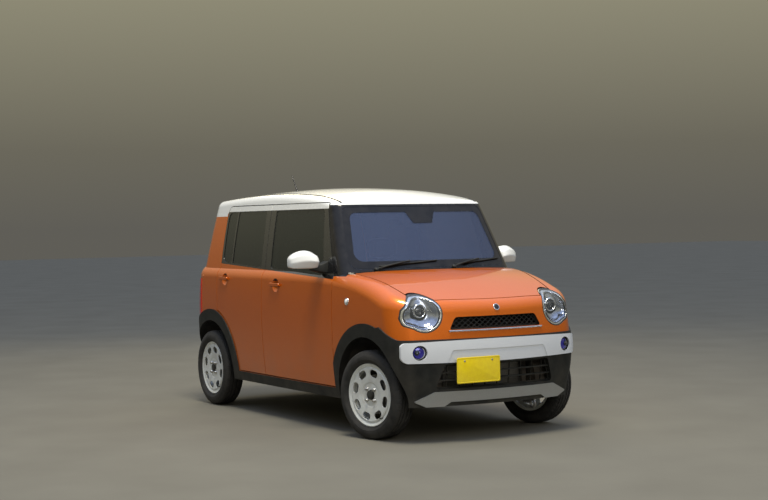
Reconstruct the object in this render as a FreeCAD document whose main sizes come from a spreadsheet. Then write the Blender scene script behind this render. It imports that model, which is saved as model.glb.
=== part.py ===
"""Kei car: a tall, boxy four-door mini car with round lamps, two-tone paint and steel wheels.

Millimetres. X forward, Y to the car's left, Z up. The origin is on the ground, at the middle of the
car's length and width. The front wheels stand turned to the left, as the car was parked.
"""
import FreeCAD
import Part
import math
import os
from FreeCAD import Placement, Rotation, Vector

doc = FreeCAD.newDocument("KeiCar")

# Driving dimensions: alias, value in millimetres or degrees.
DIMENSIONS = [
    ("car_length", 3395), ("car_width", 1475), ("car_height", 1665),
    ("wheelbase", 2425), ("front_overhang", 520), ("track", 1290),
    ("tyre_radius", 289.5), ("tyre_width", 165), ("tyre_bead", 190), ("tyre_wall", 14),
    ("rim_width", 126), ("rim_lip", 203), ("rim_wall", 6), ("rim_hub", 70),
    ("rim_hole_count", 8), ("rim_hole_ring", 143), ("rim_hole_wide", 74), ("rim_hole_tall", 48),
    ("rim_hole_turn", 15), ("tyre_sides", 40), ("hub_set", 18), ("spindle", 12),
    ("grille_bar", 5), ("grille_pitch", 92), ("mesh_pitch", 42), ("mesh_rise", 32), ("band_step", 5),
    ("handle_length", 150), ("handle_tall", 24),
    ("hub_radius", 60), ("cap_radius", 29), ("disc_radius", 128), ("disc_thick", 20),
    ("ground_clearance", 230), ("wall", 50), ("door_gap", 6), ("bonnet_gap", 8.4), ("trim", 10),
    ("band_proud", 12), ("glass_inset", 4), ("glass_thick", 6), ("glass_gap", 0.3),
    ("shoulder_radius", 100), ("roof_radius", 60),
    ("arch_radius", 372), ("arch_trim_width", 88), ("liner", 8),
    ("front_liner_y", 375), ("rear_liner_y", 520),
    ("door_bottom", 303), ("door_top", 1547), ("belt_front", 1048), ("belt_rear", 1121),
    ("glass_top", 1500), ("door_slant", 0.23),
    ("door_front_x", 745), ("door_split_x", -323), ("door_rear_x", -1125),
    ("bumper_top", 657), ("lamp_y", 513), ("lamp_z", 822), ("lamp_radius", 122), ("lamp_lobe", 149),
    ("fog_y", 566), ("fog_z", 577), ("fog_radius", 40),
    ("kingpin_y", 545), ("steer_rest", 12), ("strut_radius", 20), ("rod_radius", 11), ("arm_z", 190),
    ("seat_width", 480), ("seat_y", 335), ("steering_wheel_radius", 180), ("running_gap", 0.4),
    ("mirror_width", 185), ("mirror_height", 118), ("mirror_depth", 92),
    ("pipe_radius", 20), ("muffler_radius", 62),
    ("engine_length", 360), ("engine_width", 600), ("engine_height", 480),
    ("radiator_thick", 40), ("radiator_width", 620), ("radiator_height", 420),
    ("tank_length", 560), ("tank_width", 700), ("tank_height", 48),
]

sheet = doc.addObject("Spreadsheet::Sheet", "Dims")
for row, (alias, value) in enumerate(DIMENSIONS, start=1):
    sheet.set("A%d" % row, alias)
    sheet.set("B%d" % row, str(value))
    sheet.setAlias("B%d" % row, alias)
doc.recompute()


def dim(alias):
    """A driving dimension, read from the sheet."""
    return float(sheet.get(alias))


HALF_LENGTH = dim("car_length") / 2
HALF_WIDTH = dim("car_width") / 2
AXLE_F = HALF_LENGTH - dim("front_overhang")
AXLE_R = AXLE_F - dim("wheelbase")
WHEEL_Z = dim("tyre_radius")
WHEEL_Y = dim("track") / 2
WALL = dim("wall")
TRIM = dim("trim")
GAP = dim("door_gap")
FLOOR = dim("ground_clearance")
NOSE = HALF_LENGTH - TRIM - dim("band_proud")
TAIL = -HALF_LENGTH + TRIM
SIDE = HALF_WIDTH - TRIM
FAR = 2 * HALF_LENGTH
NODES = []


# Nodes: each one becomes a document object with its own label and STEP file.
def add(label, shape):
    feature = doc.addObject("Part::Feature", label)
    feature.Label = label
    feature.Shape = shape
    NODES.append(feature)
    return feature


# Plane outlines made of lines and arcs.
def line(a, b):
    return Part.LineSegment(a, b).toShape()


def arc(a, m, b):
    return Part.Arc(a, m, b).toShape()


def outline(points, place):
    """A closed face through (u, v, radius) corners; place turns (u, v) into a point in space."""
    corners = []
    count = len(points)
    for i, (u, v, r) in enumerate(points):
        if r == 0:
            corners.append(((u, v), None, (u, v)))
            continue
        pu, pv, _ = points[i - 1]
        nu, nv, _ = points[(i + 1) % count]
        a = FreeCAD.Vector(pu - u, pv - v, 0).normalize()
        b = FreeCAD.Vector(nu - u, nv - v, 0).normalize()
        half = math.acos(max(-1.0, min(1.0, a.dot(b)))) / 2
        reach = r / math.tan(half)
        middle = (a + b).normalize()
        centre = Vector(u, v, 0) + middle * (r / math.sin(half))
        start = Vector(u, v, 0) + a * reach
        end = Vector(u, v, 0) + b * reach
        top = centre - middle * r
        corners.append(((start.x, start.y), (top.x, top.y), (end.x, end.y)))
    edges = []
    for i, (start, top, end) in enumerate(corners):
        if top is not None:
            edges.append(arc(place(*start), place(*top), place(*end)))
        nxt = corners[(i + 1) % count][0]
        if math.hypot(nxt[0] - end[0], nxt[1] - end[1]) > 1e-6:
            edges.append(line(place(*end), place(*nxt)))
    return Part.Face(Part.Wire(edges))


def side_prism(points, y0, y1, slant=0.0):
    """An X-Z outline pushed from y0 to y1; slant moves it forward as it goes in."""
    face = outline(points, lambda u, v: Vector(u, y0, v))
    return face.extrude(Vector(slant * abs(y1 - y0), y1 - y0, 0))


def front_prism(points, x0, x1):
    """A Y-Z outline pushed from x0 to x1."""
    return outline(points, lambda u, v: Vector(x0, u, v)).extrude(Vector(x1 - x0, 0, 0))


def top_prism(points, z0, z1):
    """An X-Y outline pushed from z0 to z1."""
    return outline(points, lambda u, v: Vector(u, v, z0)).extrude(Vector(0, 0, z1 - z0))


def block(x0, x1, y0, y1, z0, z1):
    return Part.makeBox(x1 - x0, y1 - y0, z1 - z0, Vector(x0, y0, z0))


def mirrored(shape):
    """The same piece on the other side of the car."""
    return shape.mirror(Vector(0, 0, 0), Vector(0, 1, 0))


def pair(shape):
    return Part.makeCompound([shape, mirrored(shape)])


def joined(shapes):
    first, rest = shapes[0], shapes[1:]
    return first.fuse(rest).removeSplitter() if rest else first


def solids(shape, least=2000.0):
    """Only the real solids of a boolean's result, without slivers."""
    kept = [s for s in shape.Solids if s.Volume > least]
    return kept[0] if len(kept) == 1 else Part.makeCompound(kept)


# The master body, which every panel, window and trim is cut from. An inset makes it smaller all round.
# Lower body, from the sill to the shoulder: height, then setbacks from nose, side and tail, then radii of
# the front and rear corners.
LOWER_SECTIONS = [
    (0, 36, 38, 38, 150, 170),
    (190, 8, 15, 8, 150, 190),
    (370, 0, 4, 0, 160, 200),
    (550, 20, 0, 6, 190, 200),
    (710, 42, 3, 20, 205, 200),
    (950, 76, 16, 58, 215, 200),
]
# Cabin, from inside the shoulder to above the roof: the same columns.
UPPER_SECTIONS = [
    (720, 652, 22, 62, 95, 150),
    (1020, 824, 64, 137, 85, 150),
    (1470, 1082, 158, 225, 75, 140),
]
NOSE_ARC, TAIL_ARC, SCREEN_ARC, SIDE_ARC = 2000.0, 3000.0, 1900.0, 60000.0
# Top lines on the centre plane as tangent arcs through (x, z), starting level at the rear.
SHOULDER_LINE = [(-1900, 1120), (300, 1118), (900, 1092), (1320, 1003), (1900, 745)]
ROOF_LINE = [(-1800, 1600), (-450, 1665), (300, 1638), (700, 1560), (1100, 1370)]
SHOULDER_CROWN, ROOF_CROWN, CROWN_Y = 40.0, 95.0, 800.0


def corner_centre(centre_a, radius_a, radius_b, centre_b, ahead):
    """Centre of a corner arc that runs smoothly into an end arc and a side arc."""
    (xa, ya), (xb, yb) = centre_a, centre_b
    span = math.hypot(xb - xa, yb - ya)
    along = (radius_a ** 2 - radius_b ** 2 + span ** 2) / (2 * span)
    across = math.sqrt(radius_a ** 2 - along ** 2)
    ux, uy = (xb - xa) / span, (yb - ya) / span
    found = [(xa + along * ux + s * across * uy, ya + along * uy - s * across * ux) for s in (1, -1)]
    return max(found, key=lambda p: p[1] + ahead * p[0])


def toward(centre, radius, point):
    dx, dy = point[0] - centre[0], point[1] - centre[1]
    span = math.hypot(dx, dy)
    return (centre[0] + radius * dx / span, centre[1] + radius * dy / span)


def plan_wire(section, end_arc, inset):
    """Plan of the body at one height: eight arcs that run smoothly into each other."""
    up, front, side, rear, front_corner, rear_corner = section
    z = FLOOR + up
    front_x, half, rear_x = NOSE - front - inset, SIDE - side - inset, TAIL + rear + inset
    front_corner, rear_corner = front_corner - inset, rear_corner - inset
    end_r, tail_r, side_r = end_arc - inset, TAIL_ARC - inset, SIDE_ARC - inset
    end_c, tail_c, side_c = (front_x - end_r, 0.0), (rear_x + tail_r, 0.0), (0.0, half - side_r)
    fc = corner_centre(end_c, end_r - front_corner, side_r - front_corner, side_c, 1)
    rc = corner_centre(tail_c, tail_r - rear_corner, side_r - rear_corner, side_c, -1)
    a, b = toward(end_c, end_r, fc), toward(side_c, side_r, fc)
    c, d = toward(side_c, side_r, rc), toward(tail_c, tail_r, rc)
    ab = toward(fc, front_corner, ((a[0] + b[0]) / 2, (a[1] + b[1]) / 2))
    bc = toward(side_c, side_r, ((b[0] + c[0]) / 2, (b[1] + c[1]) / 2))
    cd = toward(rc, rear_corner, ((c[0] + d[0]) / 2, (c[1] + d[1]) / 2))

    def at(point, side_sign=1):
        return Vector(point[0], side_sign * point[1], z)

    return Part.Wire([
        arc(at(a, -1), Vector(front_x, 0, z), at(a)), arc(at(a), at(ab), at(b)),
        arc(at(b), at(bc), at(c)), arc(at(c), at(cd), at(d)),
        arc(at(d), Vector(rear_x, 0, z), at(d, -1)), arc(at(d, -1), at(cd, -1), at(c, -1)),
        arc(at(c, -1), at(bc, -1), at(b, -1)), arc(at(b, -1), at(ab, -1), at(a, -1)),
    ])


def tangent_arcs(points, rise):
    """(start, middle, end) of each arc through the points, starting at the slope rise."""
    heading = math.atan(rise)
    found = []
    for p, q in zip(points, points[1:]):
        chord = math.atan2(q[1] - p[1], q[0] - p[0])
        length = math.hypot(q[0] - p[0], q[1] - p[1])
        turn = chord - heading
        bow = length / 2 * math.tan(turn / 2)
        middle = ((p[0] + q[0]) / 2 + bow * math.sin(chord), (p[1] + q[1]) / 2 - bow * math.cos(chord))
        found.append((p, middle, q))
        heading = chord + turn
    return found


def under_line(points, rise, crown, base, inset):
    """The space below a top line, crowned across the car."""
    arcs = tangent_arcs(points, rise)
    wires = []
    for y, drop in ((-CROWN_Y, crown), (0, 0), (CROWN_Y, crown)):
        def at(point):
            return Vector(point[0], y, point[1] - drop - inset)
        edges = [arc(at(p), at(m), at(q)) for p, m, q in arcs]
        first, last = at(points[0]), at(points[-1])
        low_last, low_first = Vector(last.x, y, base), Vector(first.x, y, base)
        edges += [line(last, low_last), line(low_last, low_first), line(low_first, first)]
        wires.append(Part.Wire(edges))
    return Part.makeLoft(wires, True, False)


def rim_edges(shape, above):
    """The edges round the top of a body, without the seams that cross it."""
    found = []
    for edge in shape.Edges:
        box = edge.BoundBox
        middle = edge.valueAt((edge.FirstParameter + edge.LastParameter) / 2)
        crossing = abs(middle.y) < 1 and box.YLength > 900 and box.XLength < 60 and not (
            middle.x > max(e.BoundBox.XMax for e in shape.Edges) - 400 or middle.x < TAIL + 420)
        if box.ZMin > above and not crossing:
            found.append(edge)
    return found


BODIES = {}


def lower_body(inset):
    if ("low", inset) not in BODIES:
        loft = Part.makeLoft([plan_wire(s, NOSE_ARC, inset) for s in LOWER_SECTIONS], True, False)
        cap = under_line(SHOULDER_LINE, 0.0, SHOULDER_CROWN, FLOOR - 100, inset)
        body = loft.common(cap)
        if inset > 0:
            body = body.common(block(-FAR, FAR, -FAR, FAR, FLOOR + inset, FAR))
        BODIES["low", inset] = body.makeFillet(max(dim("shoulder_radius") - inset, 8.0), rim_edges(body, 800))
    return BODIES["low", inset]


def upper_body(inset):
    if ("up", inset) not in BODIES:
        loft = Part.makeLoft([plan_wire(s, SCREEN_ARC, inset) for s in UPPER_SECTIONS], True, False)
        cap = under_line(ROOF_LINE, 0.09, ROOF_CROWN, FLOOR, inset)
        body = loft.common(cap)
        radius = max(dim("roof_radius") - 0.8 * inset, 8.0)
        BODIES["up", inset] = body.makeFillet(radius, rim_edges(body, 1300))
    return BODIES["up", inset]


def whole_body(inset):
    if ("all", inset) not in BODIES:
        BODIES["all", inset] = lower_body(inset).fuse(upper_body(inset))
    return BODIES["all", inset]


SHELL = whole_body(0).cut(whole_body(WALL))


# Cutting outlines of panels and openings.
def disc(x, radius, y0, y1):
    """A round space about an axle."""
    return Part.makeCylinder(radius, y1 - y0, Vector(x, y0, WHEEL_Z), Vector(0, 1, 0))


def both_axles(radius, front_y, rear_y):
    return joined([disc(AXLE_F, radius, front_y, FAR / 2), disc(AXLE_R, radius, rear_y, FAR / 2)])


REACH, DOOR_DEPTH = CROWN_Y - 20.0, 252.0
SLANT = dim("door_slant")


def slanted(x, skin_y):
    """The outline's x at the outer plane for a seam that lies at x on the skin."""
    return x - SLANT * (REACH - skin_y)


ARCH_SEAM = dim("arch_radius") + dim("arch_trim_width") + GAP
KNEE = 1000.0
FRONT_DOOR = [
    (slanted(dim("door_front_x"), SIDE), dim("door_bottom"), 0),
    (slanted(dim("door_front_x"), SIDE), 1010, 40),
    (slanted(712, 700), 1085, 40),
    (slanted(512, 600), dim("door_top"), 30),
    (slanted(dim("door_split_x") - 27, 600), dim("door_top"), 0),
    (slanted(dim("door_split_x"), SIDE), KNEE, 0),
    (slanted(dim("door_split_x"), SIDE), dim("door_bottom"), 0),
]
REAR_DOOR = [
    (slanted(dim("door_split_x"), SIDE), dim("door_bottom"), 0),
    (slanted(dim("door_split_x"), SIDE), KNEE, 0),
    (slanted(dim("door_split_x") - 27, 600), dim("door_top"), 0),
    (slanted(dim("door_rear_x"), 600), dim("door_top"), 70),
    (slanted(dim("door_rear_x"), SIDE), 560, 0),
    (slanted(AXLE_R + ARCH_SEAM, SIDE), dim("door_bottom"), 0),
]


def belt(x):
    """Height of the side windows' lower edge, which falls towards the front."""
    share = (x - dim("door_rear_x")) / (560 - dim("door_rear_x"))
    return dim("belt_rear") + share * (dim("belt_front") - dim("belt_rear"))


FRONT_WINDOW = [
    (585, belt(585), 25), (478, dim("glass_top"), 30),
    (-262, dim("glass_top"), 22), (-232, belt(-232), 22),
]
REAR_WINDOW = [
    (-390, belt(-390), 22), (-420, dim("glass_top"), 22),
    (-1098, dim("glass_top"), 55), (-1092, belt(-1092), 55),
]
SCREEN = [(628, 1090, 50), (561, 1513, 45), (-561, 1513, 45), (-628, 1090, 50)]
TAILGATE = [(560, 662, 60), (600, 900, 60), (585, 1100, 40), (505, 1575, 60),
            (-505, 1575, 60), (-585, 1100, 40), (-600, 900, 60), (-560, 662, 60)]
TAIL_WINDOW = [(540, 1150, 60), (485, 1470, 60), (-485, 1470, 60), (-540, 1150, 60)]
BONNET = [
    (1602, 0, 2000), (1560, -392, 20), (1540, -556, 50), (1200, -600, 0), (1010, -636, 300), (900, -642, 20),
    (907, -560, 80), (1012, 0, 1400), (907, 560, 80), (900, 642, 20), (1010, 636, 300), (1200, 600, 0),
    (1540, 556, 50), (1560, 392, 20),
]
BUMPER_SIDE = [
    (1900, 100, 0), (1900, dim("bumper_top"), 0), (1525, dim("bumper_top"), 60), (1360, 735, 0),
    (AXLE_F, 700, 0), (AXLE_F, 100, 0),
]
REAR_BUMPER_SIDE = [
    (-1900, 100, 0), (AXLE_R, 100, 0), (AXLE_R, 690, 0), (-1400, 690, 40), (-1500, 632, 40), (-1900, 632, 0),
]


def lamp_space(grow, x0=1330.0, x1=1800.0):
    """Round headlamp with a lobe that runs out to the wing; pushed along X."""
    y, z, r = dim("lamp_y"), dim("lamp_z"), dim("lamp_radius") + grow
    bowl = Part.makeCylinder(r, x1 - x0, Vector(x0, y, z), Vector(1, 0, 0))
    tip = y + dim("lamp_lobe") + grow
    lobe = front_prism([
        (y, z + 62 + grow, 0), (tip - 46, z + 60 + grow, 30), (tip - 12, z + 26 + grow, 20), (tip, z - 30, 30),
        (tip - 14, z - 76 - grow, 24), (y + 55, z - 105 - grow, 30), (y, z - 105 - grow, 0),
    ], x0, x1)
    return bowl.fuse(lobe).removeSplitter()


def door_space(points, grow):
    """A door's whole outline through the wall of the right side, slanted so that it swings clear."""
    face = outline(points, lambda u, v: Vector(u, -REACH, v))
    if grow:
        face = face.makeOffset2D(grow, 2)
    depth = DOOR_DEPTH + 2 * min(grow, 0)
    return face.extrude(Vector(SLANT * depth, depth, 0))


HALF_GAP = GAP / 2
ARCH_CUT = both_axles(dim("arch_radius"), dim("front_liner_y"), dim("rear_liner_y"))
ARCHES = pair(mirrored(ARCH_CUT))
FRONT_SPACE = door_space(FRONT_DOOR, HALF_GAP)
REAR_SPACE = door_space(REAR_DOOR, HALF_GAP).cut(disc(AXLE_R, ARCH_SEAM, -FAR / 2, -400))
DOOR_SPACES = joined([FRONT_SPACE, REAR_SPACE])
SCREEN_SPACE = front_prism(SCREEN, 420, 1200)
LAMP_SPACES = pair(lamp_space(0.6))
BONNET_LIP, BONNET_GAP = 850.0, dim("bonnet_gap")
BONNET_SPACE = top_prism(BONNET, BONNET_LIP, 1250)
BUMPER_SPACE = side_prism(BUMPER_SIDE, -900, 900)
REAR_BUMPER_SPACE = side_prism(REAR_BUMPER_SIDE, -900, 900)
TAILGATE_SPACE = front_prism(TAILGATE, -1800, -1400)



def shrunk(points, amount, place, push):
    """A prism of an outline made smaller all round by amount."""
    face = outline(points, place).makeOffset2D(-amount, 2)
    return face.extrude(push)


def pane(prism):
    """Window glass of the cabin's own curve inside a prism."""
    glass = upper_body(dim("glass_inset")).cut(upper_body(dim("glass_inset") + dim("glass_thick")))
    return glass.common(prism)


# Doors: the skin up to the belt, the window frame above it and the glass. Modelled on the right side.
BELT_SEAM = 14.0
BAR_X, BAR_HALF = -925.0, 12.0
ABOVE_BELT = side_prism([
    (-1400, belt(-1400) - BELT_SEAM, 0), (1000, belt(1000) - BELT_SEAM, 0), (1000, 1800, 0), (-1400, 1800, 0),
], -REACH, -400)
ARCH_RELIEF = disc(AXLE_R, ARCH_SEAM + 1.5 * GAP, -FAR / 2, -400)
WINDOW_BAR = block(BAR_X - BAR_HALF, BAR_X + BAR_HALF, -REACH, -400, 1000, 1600)


def window_space(points, shrink):
    return shrunk(points, shrink, lambda u, v: Vector(u, -REACH, v), Vector(0, 330, 0))


def door_pieces(points, window, arch, bar):
    panel = SHELL.common(door_space(points, -HALF_GAP))
    panel = panel.cut(block(-FAR, FAR, -FAR, FAR, 0, dim("door_bottom")))
    hole, light = window_space(window, 0), window_space(window, dim("glass_gap"))
    if arch:
        panel = panel.cut(arch)
    if bar:
        hole, light = hole.cut(bar), light.cut(bar)
    panel = panel.cut(hinge_notches(FRONT_HINGE_X if points is FRONT_DOOR else REAR_HINGE_X))
    panel = panel.cut(hole)
    return solids(panel.cut(ABOVE_BELT)), solids(panel.common(ABOVE_BELT)), solids(pane(light))


HANDLES = {"front": (-90.0, 969.0), "rear": (-984.0, 995.0)}


def skin_y(x, z):
    """Where the right side's skin lies at this place."""
    line = Part.makeLine(Vector(x, -REACH, z), Vector(x, -400, z))
    return line.common(whole_body(0)).BoundBox.YMin


def with_handle(skin, x, z):
    """The door's skin with a finger bowl and a bar handle on two feet."""
    y, half, tall = skin_y(x, z), dim("handle_length") / 2, dim("handle_tall") / 2
    bowl = Part.makeSphere(86, Vector(x, y - 70, z))
    points = [(x - half, z - tall, 10), (x - half, z + tall, 10), (x + half, z + tall, 10), (x + half, z - tall, 10)]
    bar = side_prism(points, y - 19, y - 9)
    bar = bar.makeFillet(3, bar.Edges)
    feet = [block(x + u - 9, x + u + 9, y - 11, y + 8, z - 8, z + 8) for u in (12 - half, half - 12)]
    return joined([skin.cut(bowl), bar] + feet)


def add_doors():
    ends = (("front", FRONT_DOOR, FRONT_WINDOW, None, None),
            ("rear", REAR_DOOR, REAR_WINDOW, ARCH_RELIEF, WINDOW_BAR))
    for end, points, window, arch, bar in ends:
        skin, frame, glass = door_pieces(points, window, arch, bar)
        skin = with_handle(skin, *HANDLES[end])
        for side, turn in (("right", Part.Shape.copy), ("left", mirrored)):
            add("door_%s_%s" % (end, side), turn(skin))
            add("door_%s_%s_frame" % (end, side), turn(frame))
            add("door_%s_%s_glass" % (end, side), turn(glass))


# Hinge brackets: two short arms a side that reach into notches in the door's front edge.
FRONT_HINGE_X, REAR_HINGE_X = dim("door_front_x") - HALF_GAP, dim("door_split_x") - HALF_GAP
HINGE_Z, HINGE_TALL, HINGE_IN, HINGE_ARM = (560.0, 890.0), 60.0, 10.0, 5.0


def hinge_brackets(x, ahead, depth):
    """Brackets on the right side, from just behind the hinge axis to ahead of it."""
    return joined([block(x - HINGE_ARM, x + ahead, -SIDE + HINGE_IN, -SIDE + depth, z, z + HINGE_TALL)
                   for z in HINGE_Z])


def hinge_notches(x):
    """Room for the brackets in the door, close to them behind and wide open ahead."""
    gap = dim("running_gap")
    return joined([block(x - HINGE_ARM - gap, x + 40, -SIDE + HINGE_IN - 1.5, -600, z - 2, z + HINGE_TALL + 2)
                   for z in HINGE_Z])


TAILGATE_TOP_Z, TAILGATE_HINGE_X = 1575.0, -1490.0


def tailgate_tabs():
    """Hinge tabs under the roof's rear edge, just above the tailgate."""
    low = TAILGATE_TOP_Z - GAP + dim("running_gap")
    return pair(block(TAILGATE_HINGE_X + 32, TAILGATE_HINGE_X + 60, 270, 330, low, TAILGATE_TOP_Z + 8))


# Fixed body panels: what the doors, lids, lamps and bumpers leave of the shell.
ROOF_REGION = side_prism([
    (900, 1528, 0), (900, 1900, 0), (-1900, 1900, 0), (-1900, 1470, 0),
    (dim("door_rear_x") - 8, 1470, 0), (dim("door_rear_x") - 8, dim("door_top") + GAP, 0),
    (520, dim("door_top") + GAP, 0), (535, 1528, 0),
], -900, 900)
HEADLINING = block(dim("door_rear_x") - 8, 520, -700, 700, 1495, 1700)
FENDER_REGION = side_prism([
    (700, 100, 0), (1480, 100, 0), (1480, 1150, 0), (880, 1150, 0), (880, 1060, 0), (700, 1010, 0),
], -900, 900)
NOSE_REGION = block(1480, FAR, -900, 900, 300, 1200)
PAN_REAR, PAN_FRONT, PAN_UP, PAN_RISE = -880.0, 1477.0, 280.0, 400.0
PILLAR_X, PILLAR_HALF = -330.0, 55.0
PAN_REGION = block(PAN_REAR, PAN_FRONT, -900, 900, 0, PAN_UP)
PILLAR_REGION = side_prism([
    (430, 1046, 0), (880, 1046, 0), (880, 1060, 0), (1200, 1060, 0), (1200, 1700, 0), (430, 1700, 0),
], -900, 900)
RING_Y = 640.0
FRONT_RING = pair(disc(AXLE_F, dim("arch_radius") + dim("arch_trim_width"), RING_Y, 900))
REAR_RING = pair(disc(AXLE_R, dim("arch_radius") + dim("arch_trim_width"), RING_Y, 900))


def tail_lamp_space(grow):
    return front_prism([
        (612 - grow, 700 - grow, 22), (760, 700 - grow, 0), (760, 985 + grow, 0), (626 - grow, 985 + grow, 40),
    ], -1750, -1440)


def add_body():
    rest = SHELL.cut([DOOR_SPACES, mirrored(DOOR_SPACES)])
    rest = rest.cut([ARCHES, BONNET_SPACE, SCREEN_SPACE, TAILGATE_SPACE, LAMP_SPACES])
    overhead = ROOF_REGION.fuse(HEADLINING)
    roof = rest.common(overhead)
    rest = rest.cut([overhead, block(-1600, PAN_REAR, -640, 640, 0, PAN_RISE)])
    pillars = rest.common(PILLAR_REGION)
    rest = rest.cut([PILLAR_REGION, PAN_REGION])
    rest = rest.cut([BUMPER_SPACE.cut(FRONT_RING), REAR_BUMPER_SPACE.cut(REAR_RING)])
    fenders = rest.common(FENDER_REGION)
    nose = rest.common(NOSE_REGION).cut(upper_grille_space(0))
    sides = rest.cut([FENDER_REGION, NOSE_REGION, pair(tail_lamp_space(0))])
    add("roof", solids(roof.fuse(tailgate_tabs())))
    add("windscreen_frame", solids(pillars))
    add("front_fenders", solids(fenders.fuse(pair(hinge_brackets(FRONT_HINGE_X, 16, 38)))))
    add("nose_panel", solids(nose))
    add("body_sides", solids(sides))
    glass = shrunk(SCREEN, dim("glass_gap"), lambda u, v: Vector(420, u, v), Vector(800, 0, 0))
    add("windscreen", solids(pane(glass)))


def add_tailgate():
    def rear(points, shrink):
        return shrunk(points, shrink, lambda u, v: Vector(-1800, u, v), Vector(400 - GAP, 0, 0))
    panel = SHELL.common(rear(TAILGATE, GAP)).cut(rear(TAIL_WINDOW, 0))
    top = block(-FAR, 0, -900, 900, 1470, 1700)
    add("tailgate", solids(panel.cut(top)))
    add("tailgate_top", solids(panel.common(top)))
    add("tailgate_glass", solids(pane(rear(TAIL_WINDOW, dim("glass_gap")))))


def add_bonnet():
    space = shrunk(BONNET, BONNET_GAP, lambda u, v: Vector(u, v, BONNET_LIP + GAP), Vector(0, 0, 400))
    space = space.common(space.translated(Vector(GAP, 0, 0)))
    add("bonnet", solids(SHELL.common(space).cut(pair(lamp_space(GAP)))))


# Floor: pan, raised boot floor, firewall and the wheel housings.
FIREWALL_X, DASH_HALF = 790.0, 628.0


def wheel_housings():
    liner = dim("liner")
    outer = joined([disc(AXLE_F, dim("arch_radius") + liner, dim("front_liner_y") - liner, FAR / 2),
                    disc(AXLE_R, dim("arch_radius") + liner, dim("rear_liner_y") - liner, FAR / 2)])
    return outer.cut([ARCH_CUT, block(-FAR, PAN_REAR, 0, dim("rear_liner_y") + 10, 0, PAN_RISE)])


SUPPORT_X = 1450.0


def front_support():
    """Frame round the radiator, with rubber stops up to the bonnet."""
    half = dim("radiator_width") / 2
    top = PAN_UP + dim("radiator_height")
    post = block(SUPPORT_X, SUPPORT_X + 25, half, half + 35, PAN_UP, top + 30)
    bar = block(SUPPORT_X - 5, SUPPORT_X + 25, -half, half, top, top + 30)
    below = under_line(SHOULDER_LINE, 0.0, SHOULDER_CROWN, FLOOR, WALL + dim("running_gap"))
    stops = [Part.makeCylinder(14, 400, Vector(SUPPORT_X + 10, s * 250, top + 20)).common(below) for s in (-1, 1)]
    return joined([post, mirrored(post), bar] + stops)


JACK_X, JACK_Y, JACK_PAD = (550.0, -700.0), 600.0, 6.0


def add_floor():
    inner = whole_body(WALL)
    pan = whole_body(0).common(PAN_REGION)
    boot = block(-1640, PAN_REAR + 40, -900, 900, PAN_RISE, PAN_RISE + 40)
    step = block(PAN_REAR, PAN_REAR + 40, -900, 900, PAN_UP, PAN_RISE + 40)
    wall = block(FIREWALL_X, FIREWALL_X + 20, -900, 900, PAN_UP, 1030)
    housings = pair(wheel_housings())
    inside = joined([boot, step, wall, housings]).common(inner)
    floor = pan.fuse([inside, front_support()]).cut(ARCHES)
    floor = floor.common(block(-1640, PAN_FRONT + 100, -900, 900, 0, 1100))
    pads = [pair(block(x - 35, x + 35, JACK_Y - 20, JACK_Y + 20, FLOOR - JACK_PAD, FLOOR + 5)) for x in JACK_X]
    add("floor_pan", joined([solids(floor)] + pads))


POST_OUTSIDE = [(638, PAN_UP), (664, 600), (667, 780), (662, 940), (628, 1080), (604, 1250), (542, 1553)]


def add_pillars():
    """Pillars between the doors, inside them, with a clearance that lets the doors close."""
    outer = [(y, z, 0) for y, z in POST_OUTSIDE]
    inner = [(y - 40, z, 0) for y, z in reversed(POST_OUTSIDE)]
    x0, x1 = PILLAR_X - PILLAR_HALF, PILLAR_X + PILLAR_HALF
    post = front_prism(outer + inner, x0, x1)
    bow = whole_body(WALL).common(block(x0, x1, -900, 900, 1553, 1700))
    bow = bow.cut(under_line(ROOF_LINE, 0.09, ROOF_CROWN, FLOOR, WALL + 25).common(block(-FAR, FAR, -502, 502, 1500, 1700)))
    arms = hinge_brackets(REAR_HINGE_X, 1, 72)
    add("centre_pillars", solids(joined([post, mirrored(post), bow, arms, mirrored(arms)])))


# Front end: bumper, band, skid plate and grilles.
BAND = [(-675, 512, 40), (-675, 640, 30), (0, 657, 20000), (675, 640, 30), (675, 512, 40), (0, 505, 20000)]
BAND_STEP = [(-402, 480, 0), (-355, 588, 25), (355, 588, 25), (402, 480, 0)]
SKID = [(-592, 265, 6), (-460, 325, 25), (460, 325, 25), (592, 265, 6), (505, 226, 12), (398, 228, 8),
        (350, 257, 12), (-350, 257, 12), (-398, 228, 8), (-505, 226, 12)]
LOWER_GRILLE = [(-456, 340, 20), (-400, 497, 25), (400, 497, 25), (456, 340, 20)]
UPPER_GRILLE_Z = 752.0
UPPER_GRILLE = [(-355, 714, 10), (-310, 794, 35), (310, 794, 35), (355, 714, 10)]


def upper_grille_space(grow):
    return shrunk(UPPER_GRILLE, -grow, lambda u, v: Vector(1480, u, v), Vector(300, 0, 0))


def lower_grille_space(grow):
    return shrunk(LOWER_GRILLE, -grow, lambda u, v: Vector(1480, u, v), Vector(300, 0, 0))


def fog_space(radius):
    fog = Part.makeCylinder(radius, 300, Vector(1500, dim("fog_y"), dim("fog_z")), Vector(1, 0, 0))
    return pair(fog)


def diamonds(pitch, rise, bar):
    """Staggered lozenge holes over the upper grille, with bars of the given width between them."""
    wide, tall = pitch / 2 - bar * 0.8, rise / 2 - bar * 0.6
    holes = []
    for row in range(-3, 4):
        for column in range(-10, 11):
            y = pitch * (column + 0.5 * (row % 2))
            z = UPPER_GRILLE_Z + row * rise / 2
            points = [(y - wide, z, 0), (y, z + tall, 0), (y + wide, z, 0), (y, z - tall, 0)]
            holes.append(outline(points, on_front))
    return holes


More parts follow.
